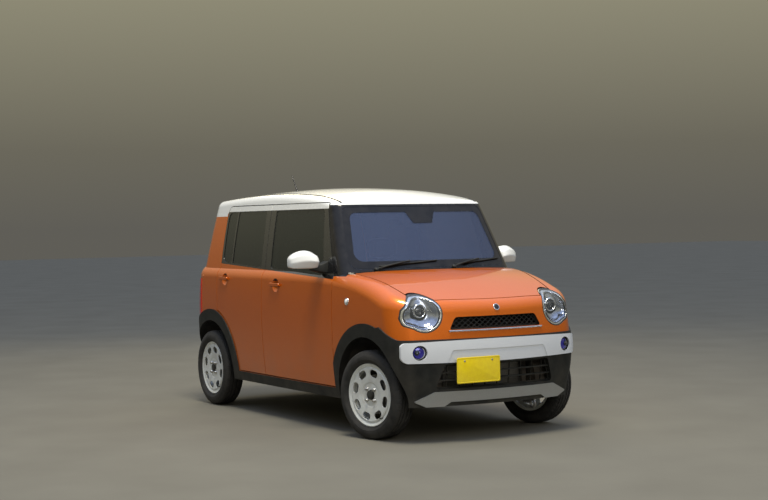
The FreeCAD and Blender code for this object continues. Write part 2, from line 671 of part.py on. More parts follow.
def windows(columns, rows, bar):
    """Square holes over the lower grille, from the rows' (low, high) heights."""
    holes = []
    for low, high in rows:
        for column in range(-columns, columns):
            y0, y1 = (column * dim("grille_pitch") + bar / 2, (column + 1) * dim("grille_pitch") - bar / 2)
            holes.append(outline([(y0, low, 0), (y0, high, 0), (y1, high, 0), (y1, low, 0)], on_front))
    return holes


def on_front(u, v):
    return Vector(1480, u, v)


def pierced(points, margin, holes):
    """A grille's outline with holes inside its margin, pushed along X."""
    face = outline(points, on_front)
    inner = face.makeOffset2D(-margin, 2)
    reach = inner.BoundBox
    near = [h for h in holes if h.BoundBox.YMax > reach.YMin and h.BoundBox.YMin < reach.YMax]
    openings = Part.makeCompound(near).common(inner)
    return face.makeOffset2D(-dim("glass_gap"), 2).cut(openings).extrude(Vector(300, 0, 0))


def front_layer(low, high, prism):
    """What lies inside a prism between two offsets of the lower body."""
    return lower_body(low).common(prism).cut(lower_body(high))


def add_front():
    skin = lower_body(-TRIM).cut(whole_body(WALL))
    bumper = skin.common(BUMPER_SPACE).cut([FRONT_RING, block(0, PAN_FRONT, -900, 900, 0, PAN_UP)])
    bumper = bumper.cut([lower_grille_space(0), fog_space(dim("fog_radius")), ARCHES, LAMP_SPACES])
    add("front_bumper", solids(bumper))
    proud = TRIM + dim("band_proud")
    band = front_layer(-proud, -TRIM, front_prism(BAND, 1400, 1800))
    step = front_prism(BAND_STEP, 1400, 1800).cut(band.translated(Vector(-dim("band_step"), 0, 0)))
    add("bumper_band", solids(band.cut([step, fog_space(dim("fog_radius") + 7)])))
    add("skid_plate", solids(front_layer(-proud, -TRIM, front_prism(SKID, 1300, 1800))))
    bar = dim("grille_bar")
    rows = ((352, 392), (400, 440), (448, 487))
    plate = front_layer(20, 28, pierced(LOWER_GRILLE, 12, windows(5, rows, bar)))
    rails = [front_prism([(-y, z - 4, 3), (-y, z + 4, 3), (y, z + 4, 3), (y, z - 4, 3)], 1480, 1780)
             for y, z in ((416, 444), (433, 396))]
    rails = lower_body(0).common(joined(rails)).cut(lower_body(20))
    add("lower_grille", solids(joined([plate, rails])))
    mesh = pierced(UPPER_GRILLE, 8, diamonds(dim("mesh_pitch"), dim("mesh_rise"), bar))
    add("upper_grille", solids(front_layer(20, 28, mesh)))
    fogs = lower_body(0).common(fog_space(dim("fog_radius")))
    add("fog_lamps", solids(fogs.common(block(1550, FAR, -900, 900, 0, 900))))


def lamp_inside():
    """The lamp's projector in its ring, the outer reflector ring and the lobe's indicator."""
    y, z = dim("lamp_y"), dim("lamp_z") + 14

    def turned(r0, r1, x0, x1, y=y, z=z):
        if r0 == r1:
            return Part.makeCylinder(r0, x1 - x0, Vector(x0, y, z), Vector(1, 0, 0))
        return Part.makeCone(r0, r1, x1 - x0, Vector(x0, y, z), Vector(1, 0, 0))
    housing = turned(50, 44, 1466, 1528).cut(turned(36, 40, 1512, 1530))
    dome = Part.makeSphere(44, Vector(1482, y, z)).common(turned(35, 35, 1482, 1600))
    ring = turned(104, 98, 1466, 1496).cut(turned(96, 92, 1460, 1500))
    signal = (y + dim("lamp_lobe") - 28, dim("lamp_z") - 20)
    lobe = turned(24, 20, 1466, 1484, *signal).cut(turned(14, 17, 1474, 1486, *signal))
    return joined([housing, dome, ring, lobe]).common(lower_body(20))


def add_headlamps():
    bowl = lamp_space(0, 1400).common(lower_body(0)).cut(lamp_space(-6, 1470))
    add("headlamp_bowls", pair(solids(joined([bowl, lamp_inside()]))))
    lens = lamp_space(0, 1400).common(lower_body(-4)).cut(lower_body(0))
    add("headlamp_lenses", pair(solids(lens)))


def add_cladding():
    """Arch and sill trims, proud of the paint, made on the right side."""
    sill = block(AXLE_R + 300, AXLE_F - 300, -900, -400, 0, dim("door_bottom") - GAP)
    rings = joined([mirrored(disc(x, dim("arch_radius") + dim("arch_trim_width"), RING_Y, 900))
                    for x in (AXLE_F, AXLE_R)])
    lamp = mirrored(tail_lamp_space(dim("glass_gap")))
    space = rings.fuse(sill).cut([mirrored(ARCH_CUT), door_space(FRONT_DOOR, GAP), REAR_SPACE, lamp])
    trims = lower_body(-TRIM).common(space).cut(lower_body(0))
    add("side_cladding", pair(solids(trims)))


def add_rear():
    skin = lower_body(-TRIM).cut(whole_body(WALL))
    bumper = skin.common(REAR_BUMPER_SPACE).cut([REAR_RING, ARCHES])
    bumper = bumper.cut(block(-1600, 0, -600, 600, 0, 420))
    add("rear_bumper", solids(bumper))
    lamps = front_layer(-4, WALL, tail_lamp_space(-0.3))
    add("tail_lamps", pair(solids(lamps)))


# Cabin: seats, dashboard and steering wheel.
def cushion(x0, x1, y0, y1, z0, z1, radius):
    return rounded(block(x0, x1, y0, y1, z0, z1), radius)


def rounded(shape, radius):
    return shape.makeFillet(radius, shape.Edges)


def leaned(shape, x, z, angle):
    turned = shape.copy()
    turned.rotate(Vector(x, 0, z), Vector(0, 1, 0), angle)
    return turned


def seat(x, y, width, depth, floor, base_rear):
    """One seat: base on the floor, cushion, leaning backrest and headrest on two posts."""
    half = width / 2
    base = block(base_rear, x - 60, y - half + 60, y + half - 60, floor, 480)
    squab = cushion(x - depth, x, y - half, y + half, 470, 600, 45)
    back = cushion(x - depth - 85, x - depth + 25, y - half + 8, y + half - 8, 500, 1120, 40)
    posts = [Part.makeCylinder(7, 60, Vector(x - depth - 35, y + s * 45, 1110)) for s in (-1, 1)]
    head = cushion(x - depth - 80, x - depth + 10, y - 125, y + 125, 1155, 1320, 38)
    upper = leaned(joined([back, head] + posts), x - depth, 540, -14)
    return joined([base, squab, upper])


def add_cabin():
    add("front_seats", Part.makeCompound([
        seat(330, s * dim("seat_y"), dim("seat_width"), 500, PAN_UP, -110) for s in (-1, 1)]))
    add("rear_seats", Part.makeCompound([
        seat(-560, s * 247, 488, 460, PAN_UP, PAN_REAR + 42) for s in (-1, 1)]))
    radius = dim("steering_wheel_radius")
    ring = Part.makeTorus(radius, 15)
    hub = Part.makeCylinder(62, 40, Vector(0, 0, -30))
    spokes = [Part.makeBox(radius, 34, 16, Vector(0, -17, -22)) for _ in range(3)]
    for spoke, angle in zip(spokes, (90, 210, 330)):
        spoke.rotate(Vector(0, 0, 0), Vector(0, 0, 1), angle)
    column = Part.makeCylinder(30, 150, Vector(0, 0, -170))
    wheel = joined([ring, hub, column] + spokes)
    pose = Placement(Vector(448, -dim("seat_y"), 930), Rotation(Vector(0, 1, 0), -66))
    feature = add("steering_wheel", wheel)
    feature.Placement = pose
    dash = side_prism([
        (FIREWALL_X, 640, 0), (FIREWALL_X, 1020, 0), (700, 1030, 40), (590, 985, 50), (540, 850, 60), (640, 640, 60),
    ], -DASH_HALF, DASH_HALF)
    add("dashboard", solids(dash.cut(feature.Shape)))


# Mirrors: a rounded housing on a foot at the corner of the window.
def mirror():
    w, h, d = dim("mirror_width"), dim("mirror_height"), dim("mirror_depth")
    y, x, z = -750.0, 560.0, 1102.0
    housing = rounded(block(x - d / 2, x + d / 2, y - w, y, z, z + h), 34)
    foot = front_prism([(-662, 1052, 0), (-662, 1150, 0), (y - 40, 1150, 10), (y - 40, 1118, 10)], 545, 600)
    foot = foot.cut(whole_body(0))
    return joined([housing, foot])


def add_mirrors():
    shape = solids(mirror())
    add("mirror_right", shape)
    add("mirror_left", mirrored(shape))


# Wheels: revolved tyres and rims, as sketches turned about the wheel's axis.
def sketch_on(body, role, name, edges):
    """A sketch in one of the body's own planes, with the given lines and arcs."""
    sketch = body.newObject("Sketcher::SketchObject", name)
    plane = [f for f in body.Origin.OriginFeatures if f.Role == role][0]
    sketch.AttachmentSupport = [(plane, "")]
    sketch.MapMode = "FlatFace"
    sketch.addGeometry(edges, False)
    return sketch


def loop(points):
    """Straight lines round a closed list of (radius, width) points, in sketch coordinates."""
    flat = [Vector(r, w, 0) for r, w in points]
    return [Part.LineSegment(a, b) for a, b in zip(flat, flat[1:] + flat[:1])]


def turned_body(label, points):
    body = doc.addObject("PartDesign::Body", label)
    body.Label = label
    sketch = sketch_on(body, "XY_Plane", label + "_profile", loop(points))
    turn = body.newObject("PartDesign::Revolution", label + "_turn")
    turn.Profile = sketch
    turn.ReferenceAxis = (sketch, ["V_Axis"])
    turn.Angle = 360
    body.Tip = turn
    doc.recompute()
    NODES.append(body)
    return body


def tyre_profile():
    """Section of the tyre as (radius, width) points: bead, sidewall, shoulder and tread, then back inside."""
    r, half, bead, wall = dim("tyre_radius"), dim("tyre_width") / 2, dim("tyre_bead"), dim("tyre_wall")
    lip, seat_in = dim("rim_lip") + 0.3, dim("rim_width") / 2 - dim("rim_wall") - 0.3
    outside = [(bead + 0.3, seat_in - 1), (lip, seat_in), (lip + 4, seat_in + 10), (bead + 52, half),
               (r - 14, half - 12), (r, half - 36)]
    inside = [(bead + 0.3, seat_in - wall), (bead + 52, half - wall), (r - wall, half - 40)]

    def other(points):
        return [(u, -v) for u, v in points]
    return other(outside) + outside[::-1] + inside + other(inside)[::-1]


def tyre_shape():
    """The section run round in even flat steps, with a flat at the bottom for the tyre to stand on."""
    sides = int(dim("tyre_sides"))
    half_step = math.pi / sides
    angles = [(2 * i + 1) * half_step for i in range(sides)]
    rings = []
    for radius, width in tyre_profile():
        corner = radius / math.cos(half_step)
        rings.append([Vector(corner * math.cos(a), width, corner * math.sin(a)) for a in angles])
    faces = []
    for ring, following in zip(rings, rings[1:] + rings[:1]):
        for i in range(sides):
            j = (i + 1) % sides
            corners = [ring[i], ring[j], following[j], following[i], ring[i]]
            faces.append(Part.Face(Part.makePolygon(corners)))
    shell = Part.Shell(faces)
    shell.sewShape()
    tyre = Part.Solid(shell)
    if tyre.Volume < 0:
        tyre.reverse()
    return tyre


def rim_profile():
    lip, wall, half, bead = dim("rim_lip"), dim("rim_wall"), dim("rim_width") / 2, dim("tyre_bead")
    bore, hub, back = dim("cap_radius"), dim("rim_hub"), half - dim("hub_set")
    return [(lip, -half), (lip, -half + wall), (bead, -half + wall + 1), (bead, -half + 24), (bead - 14, -half + 34),
            (bead - 14, half - 40), (bead, half - 26), (bead, half - wall - 1), (lip, half - wall), (lip, half),
            (lip - 5, half), (bead - 6, half - 7), (bead - 10, half - 9), (bead - 16, half - 3), (bead - 22, half - 2),
            (hub + 38, half - 5), (hub + 14, half - 8), (hub + 4, back + wall), (bore, back + wall),
            (bore, back), (hub + 6, back), (hub + 16, half - 14), (hub + 38, half - 11), (bead - 26, half - 8),
            (bead - 20, half - 16), (bead - 6, half - 18), (bead - 6, half - 24), (bead - 20, half - 40),
            (bead - 20, -half + 32), (bead - 6, -half + 22), (bead - 6, -half + 2)]


def rim_hole():
    """One oval vent, long way round the wheel, turned to its place."""
    radius, run = dim("rim_hole_tall") / 2, (dim("rim_hole_wide") - dim("rim_hole_tall")) / 2
    turn = Rotation(Vector(0, 0, 1), dim("rim_hole_turn"))

    def at(x, y):
        return turn.multVec(Vector(x, dim("rim_hole_ring") + y, 0))
    return [Part.LineSegment(at(-run, radius), at(run, radius)),
            Part.Arc(at(run, radius), at(run + radius, 0), at(run, -radius)),
            Part.LineSegment(at(run, -radius), at(-run, -radius)),
            Part.Arc(at(-run, -radius), at(-run - radius, 0), at(-run, radius))]


def add_rim(label):
    body = turned_body(label, rim_profile())
    sketch = sketch_on(body, "XZ_Plane", label + "_hole", rim_hole())
    pocket = body.newObject("PartDesign::Pocket", label + "_pocket")
    pocket.Profile = sketch
    pocket.Type = 1
    pocket.Midplane = True
    pocket.Length = 400
    doc.recompute()
    pattern = body.newObject("PartDesign::PolarPattern", label + "_holes")
    pattern.Originals = [pocket]
    pattern.Axis = (sketch, ["N_Axis"])
    pattern.Angle = 360
    pattern.setExpression("Occurrences", "Dims.rim_hole_count")
    body.Tip = pattern
    return body


WHEEL_PLACES = (("front_left", AXLE_F, 1, True), ("front_right", AXLE_F, -1, True),
                ("rear_left", AXLE_R, 1, False), ("rear_right", AXLE_R, -1, False))
KINGPIN_Y = dim("kingpin_y")


def wheel_pose(x, side, steered, facing):
    """Where a wheel stands: turned about its kingpin if it is steered; facing turns its disc outward."""
    turn = dim("steer_rest") if steered else 0.0
    spin = Rotation(Vector(0, 0, 1), 0 if side > 0 or not facing else 180)
    steer = Rotation(Vector(0, 0, 1), turn)
    arm = Vector(0, side * (WHEEL_Y - KINGPIN_Y), 0)
    centre = Vector(x, side * KINGPIN_Y, WHEEL_Z) + (steer.multVec(arm) if steered else arm)
    return Placement(centre, steer.multiply(spin))


def add_wheels():
    tyre = tyre_shape()
    for place, x, side, steered in WHEEL_PLACES:
        pose = wheel_pose(x, side, steered, True)
        add("tyre_" + place, tyre).Placement = pose
        rim = add_rim("rim_" + place)
        rim.Placement = pose


# Running gear: knuckles, struts, arms and the rear axle.
HUB_FACE = WHEEL_Y + dim("rim_width") / 2 - dim("hub_set")
ARM_TOP, STRUT_FOOT = dim("arm_z") + 12, WHEEL_Z + 90


def knuckle():
    """Left upright with its hub, spindle, brake disc, caliper, steering arm, ball seat and strut."""
    gap, disc_thick = dim("running_gap"), dim("disc_thick")
    face = HUB_FACE - gap
    disc_y = face - 40 - disc_thick

    def turned_about_axle(radius, y0, y1):
        return Part.makeCylinder(radius, y1 - y0, Vector(0, y0, WHEEL_Z), Vector(0, 1, 0))
    hub = turned_about_axle(dim("hub_radius"), disc_y + disc_thick, face)
    spindle = turned_about_axle(dim("cap_radius") - gap, face, face + dim("spindle"))
    brake = turned_about_axle(dim("disc_radius"), disc_y, disc_y + disc_thick)
    carrier = turned_about_axle(45, KINGPIN_Y - 12, disc_y)
    upright = side_prism([(-22, ARM_TOP, 0), (22, ARM_TOP, 0), (30, WHEEL_Z, 40), (22, STRUT_FOOT, 0),
                          (-22, STRUT_FOOT, 0), (-30, WHEEL_Z, 40)], KINGPIN_Y - 22, KINGPIN_Y + 22)
    caliper = block(60, 140, disc_y - 18, face - 8, WHEEL_Z - 40, WHEEL_Z + 75)
    caliper = caliper.cut(turned_about_axle(100, disc_y - 40, face + 10))
    arm = block(-135, 0, KINGPIN_Y - 10, KINGPIN_Y + 10, WHEEL_Z - 52, WHEEL_Z - 34)
    tube = Part.makeCylinder(dim("strut_radius"), 80, Vector(0, KINGPIN_Y, STRUT_FOOT - 5))
    rod_top = WHEEL_Z + dim("arch_radius") - gap
    rod = Part.makeCylinder(dim("rod_radius"), rod_top - STRUT_FOOT, Vector(0, KINGPIN_Y, STRUT_FOOT))
    return joined([hub, spindle, brake, carrier, upright, caliper, arm, tube, rod])


def add_knuckles():
    left = knuckle()
    for side, shape, sign in (("left", left, 1), ("right", mirrored(left), -1)):
        steer = Placement(Vector(AXLE_F, sign * KINGPIN_Y, 0), Rotation(Vector(0, 0, 1), dim("steer_rest")))
        feature = add("knuckle_" + side, shape)
        feature.Placement = steer.multiply(Placement(Vector(0, -sign * KINGPIN_Y, 0), Rotation()))


def add_suspension():
    """Lower arms and crossmember; the arms' balls carry the uprights."""
    z, end = dim("arm_z"), KINGPIN_Y
    ball = Part.makeCylinder(18, 16, Vector(AXLE_F, end, ARM_TOP - dim("running_gap") - 16))
    link = block(AXLE_F - 24, AXLE_F + 24, 300, end, z - 12, z + 6)
    rear_leg = top_prism([(AXLE_F - 24, 440, 0), (AXLE_F - 230, 330, 0), (AXLE_F - 230, 290, 0),
                          (AXLE_F - 180, 290, 0), (AXLE_F + 10, 400, 0)], z - 12, z + 6)
    mount = block(AXLE_F - 240, AXLE_F + 60, 280, 330, z - 12, FLOOR)
    arms = pair(joined([ball, link, rear_leg, mount]))
    beam = block(AXLE_F - 60, AXLE_F + 60, -280, 280, z + 6, FLOOR)
    add("front_suspension", joined([beam] + arms.Solids))


def add_rear_axle():
    gap = dim("running_gap")
    beam = Part.makeCylinder(38, 2 * 480, Vector(AXLE_R + 70, -480, WHEEL_Z + 10), Vector(0, 1, 0))
    parts = [beam]
    for sign in (1, -1):
        def out(y0, y1, radius):
            return Part.makeCylinder(radius, abs(y1 - y0), Vector(AXLE_R, sign * y0, WHEEL_Z), Vector(0, sign, 0))
        parts += [out(470, HUB_FACE - 60, 26), out(HUB_FACE - 66, HUB_FACE - gap, 105),
                  out(HUB_FACE - 10, HUB_FACE + dim("spindle"), dim("cap_radius") - gap)]
        y0, y1 = sorted((sign * 470, sign * 510))
        arm = side_prism([(AXLE_R - 60, WHEEL_Z - 30, 20), (AXLE_R - 60, WHEEL_Z + 40, 20),
                          (AXLE_R + 120, WHEEL_Z + 50, 0), (PAN_REAR, 275, 0), (PAN_REAR, 235, 0),
                          (AXLE_R + 60, WHEEL_Z - 35, 0)], y0, y1)
        spring = Part.makeCylinder(52, PAN_RISE - WHEEL_Z - 48, Vector(AXLE_R + 70, sign * 420, WHEEL_Z + 48))
        seat_plate = Part.makeCylinder(60, 12, Vector(AXLE_R + 70, sign * 420, WHEEL_Z + 36))
        parts += [arm, spring, seat_plate]
    add("rear_axle", joined(parts))


def bound_box(label, sizes, corner):
    """A block whose sides are read from the sheet by expressions."""
    box = doc.addObject("Part::Box", label)
    box.Label = label
    for side, text in zip(("Length", "Width", "Height"), sizes):
        box.setExpression(side, text)
    box.Placement = Placement(Vector(*corner), Rotation())
    NODES.append(box)
    return box


def add_machinery():
    bound_box("engine", ("Dims.engine_length", "Dims.engine_width", "Dims.engine_height"),
              (AXLE_F - 180, -dim("engine_width") / 2, PAN_UP))
    bound_box("radiator", ("Dims.radiator_thick", "Dims.radiator_width", "Dims.radiator_height"),
              (SUPPORT_X - 45, -dim("radiator_width") / 2, PAN_UP))
    bound_box("fuel_tank", ("Dims.tank_length", "Dims.tank_width", "Dims.tank_height"),
              (-620, -dim("tank_width") / 2, FLOOR - dim("tank_height")))
    r = dim("pipe_radius")
    pipe = Part.makeCylinder(r, 1500, Vector(-660, 400, FLOOR - r), Vector(1, 0, 0))
    muffler = Part.makeCylinder(dim("muffler_radius"), 420,
                                Vector(AXLE_R - 210, -210, PAN_RISE - dim("muffler_radius") - 0.3), Vector(0, 1, 0))
    tail = Part.makeCylinder(r, 150, Vector(AXLE_R - 380, 150, FLOOR - r), Vector(1, 0, 0))
    tail = tail.cut(lower_body(-TRIM))
    add("exhaust", Part.makeCompound([pipe, joined([muffler, tail])]))


def add_small():
    mast = Part.makeCone(6, 3, 170, Vector(-1120, 0, 1652), Vector(-0.55, 0, 0.83))
    foot = Part.makeCone(22, 10, 26, Vector(-1118, 0, 1640), Vector(-0.2, 0, 1)).cut(whole_body(0))
    add("antenna", solids(joined([foot, mast.cut(whole_body(0))]), 100))
    eye = Part.makeCylinder(30, 12, Vector(1600, 301, 197), Vector(0, 1, 0))
    plate = block(1500, 1590, 301, 313, 196, FLOOR - 0.3)
    bore = Part.makeCylinder(18, 30, Vector(1600, 290, 197), Vector(0, 1, 0))
    add("tow_hook", joined([eye, plate]).cut(bore))


add_doors()
add_body()
add_tailgate()
add_bonnet()
add_floor()
add_pillars()
add_front()
add_headlamps()
add_cladding()
add_rear()
add_cabin()
add_mirrors()
add_wheels()
add_knuckles()
add_suspension()
add_rear_axle()
add_machinery()
add_small()
doc.recompute()

os.makedirs("parts", exist_ok=True)
for node in NODES:
    if "Invalid" in node.State or "Error" in node.State:
        raise RuntimeError("%s failed" % node.Label)
    if node.Shape.isNull() or not node.Shape.isValid() or not node.Shape.Solids:
        raise RuntimeError("%s has no valid shape" % node.Label)
for node in NODES:
    node.Shape.exportStep("parts/%s.step" % node.Label)
print(len(NODES), "nodes")
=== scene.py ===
"""The looks of a small tall car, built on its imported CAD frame: +X forward, +Y left, +Z up.

Places are in metres. What turned, slab, panel, block and wire take as sizes is in millimetres.
"""

from math import copysign, cos, exp, pi, radians, sin, tan

import bmesh
import bpy
from mathutils import Matrix, Vector
from mathutils.bvhtree import BVHTree


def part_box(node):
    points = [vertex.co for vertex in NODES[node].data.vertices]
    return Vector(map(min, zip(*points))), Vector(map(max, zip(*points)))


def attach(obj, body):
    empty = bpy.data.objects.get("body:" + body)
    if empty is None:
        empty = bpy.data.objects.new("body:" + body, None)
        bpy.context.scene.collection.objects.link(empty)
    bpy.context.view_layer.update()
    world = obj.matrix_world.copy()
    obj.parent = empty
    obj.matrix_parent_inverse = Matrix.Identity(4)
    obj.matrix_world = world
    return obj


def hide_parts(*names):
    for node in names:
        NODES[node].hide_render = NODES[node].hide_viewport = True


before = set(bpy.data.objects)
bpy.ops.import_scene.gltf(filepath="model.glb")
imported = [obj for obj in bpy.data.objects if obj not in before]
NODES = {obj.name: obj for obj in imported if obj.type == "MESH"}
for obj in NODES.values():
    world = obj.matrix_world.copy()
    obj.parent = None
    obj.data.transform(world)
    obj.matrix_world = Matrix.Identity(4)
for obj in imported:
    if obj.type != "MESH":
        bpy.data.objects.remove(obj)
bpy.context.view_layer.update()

SIDES = (("left", 1), ("right", -1))
CORNERS = ("front_left", "front_right", "rear_left", "rear_right")
AXLE_FRONT, AXLE_REAR = 1.1775, -1.2475
WHEEL_Z = 0.2895

moved = Matrix.Translation


def tilted(degrees, axis):
    return Matrix.Rotation(radians(degrees), 4, axis)


def shown(name, data):
    """A new object in the scene."""
    made = bpy.data.objects.new(name, data)
    bpy.context.scene.collection.objects.link(made)
    return made


# Camera, light and floor

CAMERA_AT = (9.7325, -5.584, 1.392)
YAW, PITCH, ROLL = (radians(a) for a in (149.57, -0.98, -0.96))
SENSOR, FOCUS_PIXELS, PICTURE_WIDTH = 36, 1523.16, 768
FLOOR_HALF = 60


def add_camera():
    forward = Vector((cos(YAW) * cos(PITCH), sin(YAW) * cos(PITCH), sin(PITCH)))
    right = Vector((sin(YAW), -cos(YAW), 0))
    up = right.cross(forward)
    turned_right = right * cos(ROLL) + up * sin(ROLL)
    turned_up = up * cos(ROLL) - right * sin(ROLL)
    data = bpy.data.cameras.new("camera")
    data.sensor_width = SENSOR
    data.lens = SENSOR * FOCUS_PIXELS / PICTURE_WIDTH
    camera = shown("camera", data)
    turn = Matrix((turned_right, turned_up, -forward)).transposed().to_4x4()
    camera.matrix_world = moved(CAMERA_AT) @ turn
    bpy.context.scene.camera = camera


# Round lamps: place, target, width and height, watts, colour
LAMPS = {
    "key": ((2.2, -1.4, 8.0), (0.2, 0, 0.7), (2.6, 2.6), 640, (1.0, 0.93, 0.76)),
    "fill": ((8.5, -1.5, 4.0), (0.5, 0, 0.7), (4.5, 3.0), 130, (1.0, 0.97, 0.92)),
    "back": ((-6.0, 2.0, 5.0), (-0.5, 0, 0.9), (4.0, 3.0), 150, (1.0, 0.86, 0.56)),
}


def add_lamps():
    for name, (at, look_at, size, power, colour) in LAMPS.items():
        data = bpy.data.lights.new(name, "AREA")
        data.shape = "ELLIPSE"
        data.color = colour
        data.size, data.size_y = size
        data.energy = power
        lamp = shown(name, data)
        lamp.location = at
        lamp.rotation_euler = (Vector(look_at) - Vector(at)).to_track_quat("-Z", "Y").to_euler()


SKY = ((0.0, (0.115, 0.11, 0.095)), (0.05, (0.145, 0.136, 0.105)), (0.15, (0.27, 0.255, 0.18)),
       (0.38, (0.5, 0.46, 0.34)), (0.6, (0.48, 0.56, 0.72)), (0.8, (0.74, 0.88, 1.2)))


def add_world():
    world = bpy.data.worlds.new("studio")
    world.use_nodes = True
    tree = world.node_tree
    coordinates = tree.nodes.new("ShaderNodeTexCoord")
    split = tree.nodes.new("ShaderNodeSeparateXYZ")
    ramp = tree.nodes.new("ShaderNodeValToRGB")
    tree.links.new(coordinates.outputs["Generated"], split.inputs[0])
    tree.links.new(split.outputs["Z"], ramp.inputs[0])
    tree.links.new(ramp.outputs[0], tree.nodes["Background"].inputs["Color"])
    elements = ramp.color_ramp.elements
    for _ in SKY[2:]:
        elements.new(0.5)
    for element, (height, colour) in zip(elements, SKY):
        element.position = height
        element.color = (*colour, 1)
    tree.nodes["Background"].inputs["Strength"].default_value = 1.0
    bpy.context.scene.world = world


def add_floor():
    corners = [(u * FLOOR_HALF, v * FLOOR_HALF, 0) for u, v in ((-1, -1), (1, -1), (1, 1), (-1, 1))]
    mesh = bpy.data.meshes.new("floor")
    mesh.from_pydata(corners, [], [(0, 1, 2, 3)])
    floor = shown("floor", mesh)
    mesh.materials.append(MATERIALS["floor"])


# Materials

class Graph:
    """One material's node tree, with short calls for the nodes used here. Coordinates are the part's own."""

    def __init__(self, name, **values):
        self.material = bpy.data.materials.new(name)
        self.material.use_nodes = True
        self.tree = self.material.node_tree
        self.shader = self.tree.nodes["Principled BSDF"]
        self.place = self.tree.nodes.new("ShaderNodeTexCoord").outputs["Object"]
        for key, value in values.items():
            self.wire(key.replace("_", " "), value)

    def put(self, socket, value):
        if hasattr(value, "is_linked"):
            self.tree.links.new(value, socket)
        elif socket.type == "RGBA":
            socket.default_value = (*value, 1)
        else:
            socket.default_value = value

    def wire(self, name, value):
        self.put(self.shader.inputs[name], value)

    def node(self, kind, inputs=None, **settings):
        made = self.tree.nodes.new("ShaderNode" + kind)
        for key, value in settings.items():
            setattr(made, key, value)
        for key, value in (inputs or {}).items():
            self.put(made.inputs[key], value)
        return made

    def noise(self, scale, detail, stretch=(1, 1, 1)):
        place = self.node("Mapping", {"Vector": self.place, "Scale": stretch}).outputs[0]
        return self.node("TexNoise", {"Vector": place, "Scale": scale, "Detail": detail}).outputs["Fac"]

    def cells(self, scale):
        return self.node("TexVoronoi", {"Vector": self.place, "Scale": scale}).outputs["Distance"]

    def axis(self, name):
        return self.node("SeparateXYZ", {0: self.place}).outputs[name]

    def math(self, operation, a, b=0.0):
        return self.node("Math", {0: a, 1: b}, operation=operation).outputs[0]

    def wave(self, value, pitch):
        return self.math("SINE", self.math("MULTIPLY", value, pitch))

    def span(self, value, low, high, to_low=0.0, to_high=1.0):
        inputs = {"Value": value, "From Min": low, "From Max": high, "To Min": to_low, "To Max": to_high}
        return self.node("MapRange", inputs).outputs["Result"]

    def mix(self, factor, a, b):
        return self.node("Mix", {0: factor, 6: a, 7: b}, data_type="RGBA").outputs[2]

    def bump(self, height, strength, distance, socket="Normal"):
        made = self.node("Bump", {"Height": height, "Strength": strength, "Distance": distance})
        self.wire(socket, made.outputs[0])


DUST = (0.33, 0.27, 0.2)


def dusty(graph, colour, roughness, amount, top):
    """Road dust that gathers low down, in patches."""
    low = graph.span(graph.axis("Z"), 0.2, top, amount, 0.02)
    patches = graph.span(graph.noise(7.0, 6.0), 0.35, 0.75)
    dust = graph.math("MULTIPLY", low, patches)
    graph.wire("Base Color", graph.mix(dust, colour, DUST))
    graph.wire("Roughness", graph.span(dust, 0.0, 0.5, roughness, 0.75))


def surface(name, noise, span, colours, roughness=None, relief=None, dust=None, **values):
    """Two colours in patches, with a roughness that follows them and a fine relief."""
    graph = Graph(name, **values)
    marks = graph.span(graph.noise(*noise), *span)
    tone = graph.mix(marks, *colours)
    if dust:
        dusty(graph, tone, *dust)
    else:
        graph.wire("Base Color", tone)
    if roughness:
        graph.wire("Roughness", graph.span(marks, *roughness))
    if relief:
        grain, strength, distance = relief
        graph.bump(graph.noise(*grain), strength, distance)
    return graph.material


ARCH_LINING = 0.385
REAR_WALL_X = -1.35


def inside_of_panel(graph):
    """1 on faces that look into the cabin and inside the wheel arches, 0 on the painted skin."""
    do, axis = graph.math, graph.axis
    way = graph.node("SeparateXYZ", {0: graph.node("TexCoord").outputs["Normal"]}).outputs
    inward = do("LESS_THAN", do("MULTIPLY", do("SIGN", axis("Y")), way["Y"]), -0.3)
    downward = do("LESS_THAN", way["Z"], -0.3)
    rear_wall = do("MULTIPLY", do("GREATER_THAN", way["X"], 0.3), do("LESS_THAN", axis("X"), REAR_WALL_X))
    mask = do("MAXIMUM", do("MAXIMUM", inward, downward), rear_wall)
    for axle in (AXLE_FRONT, AXLE_REAR):
        x = do("SUBTRACT", axis("X"), axle)
        z = do("SUBTRACT", axis("Z"), WHEEL_Z)
        reach = do("ADD", do("MULTIPLY", x, x), do("MULTIPLY", z, z))
        mask = do("MAXIMUM", mask, do("LESS_THAN", reach, ARCH_LINING ** 2))
    return mask


def paint(name, colour, shade, metallic, flakes, lining=None):
    """Clear-coated paint with flakes, orange peel and a little dust; lining is the inner side's colour."""
    graph = Graph(name, Metallic=metallic, Coat_Weight=1.0, Coat_Roughness=0.025, Coat_IOR=1.42,
                  Specular_IOR_Level=0.2)
    speckle = graph.span(graph.cells(1500.0), 0.0, 0.55)
    tone = graph.mix(graph.math("MULTIPLY", speckle, flakes), colour, shade)
    if lining:
        mask = inside_of_panel(graph)
        tone = graph.mix(mask, tone, lining)
        graph.wire("Metallic", graph.span(mask, 0, 1, metallic, 0.0))
        graph.wire("Coat Weight", graph.span(mask, 0, 1, 1.0, 0.0))
    dusty(graph, tone, 0.34, 0.22, 0.6)
    graph.bump(graph.cells(1500.0), 0.12 * flakes, 0.0002)
    graph.bump(graph.noise(160.0, 1.0), 0.03, 0.001, "Coat Normal")
    return graph.material


def plastic(name, colour, roughness, grain, depth, dust):
    """Moulded plastic with a fine leather-like grain."""
    graph = Graph(name, Specular_IOR_Level=0.3)
    worn = graph.span(graph.noise(14.0, 5.0), 0.3, 0.7)
    lighter = [c * 1.5 + 0.002 for c in colour]
    dusty(graph, graph.mix(worn, colour, lighter), roughness, dust, 0.7)
    graph.bump(graph.cells(grain), depth, 0.0006)
    return graph.material


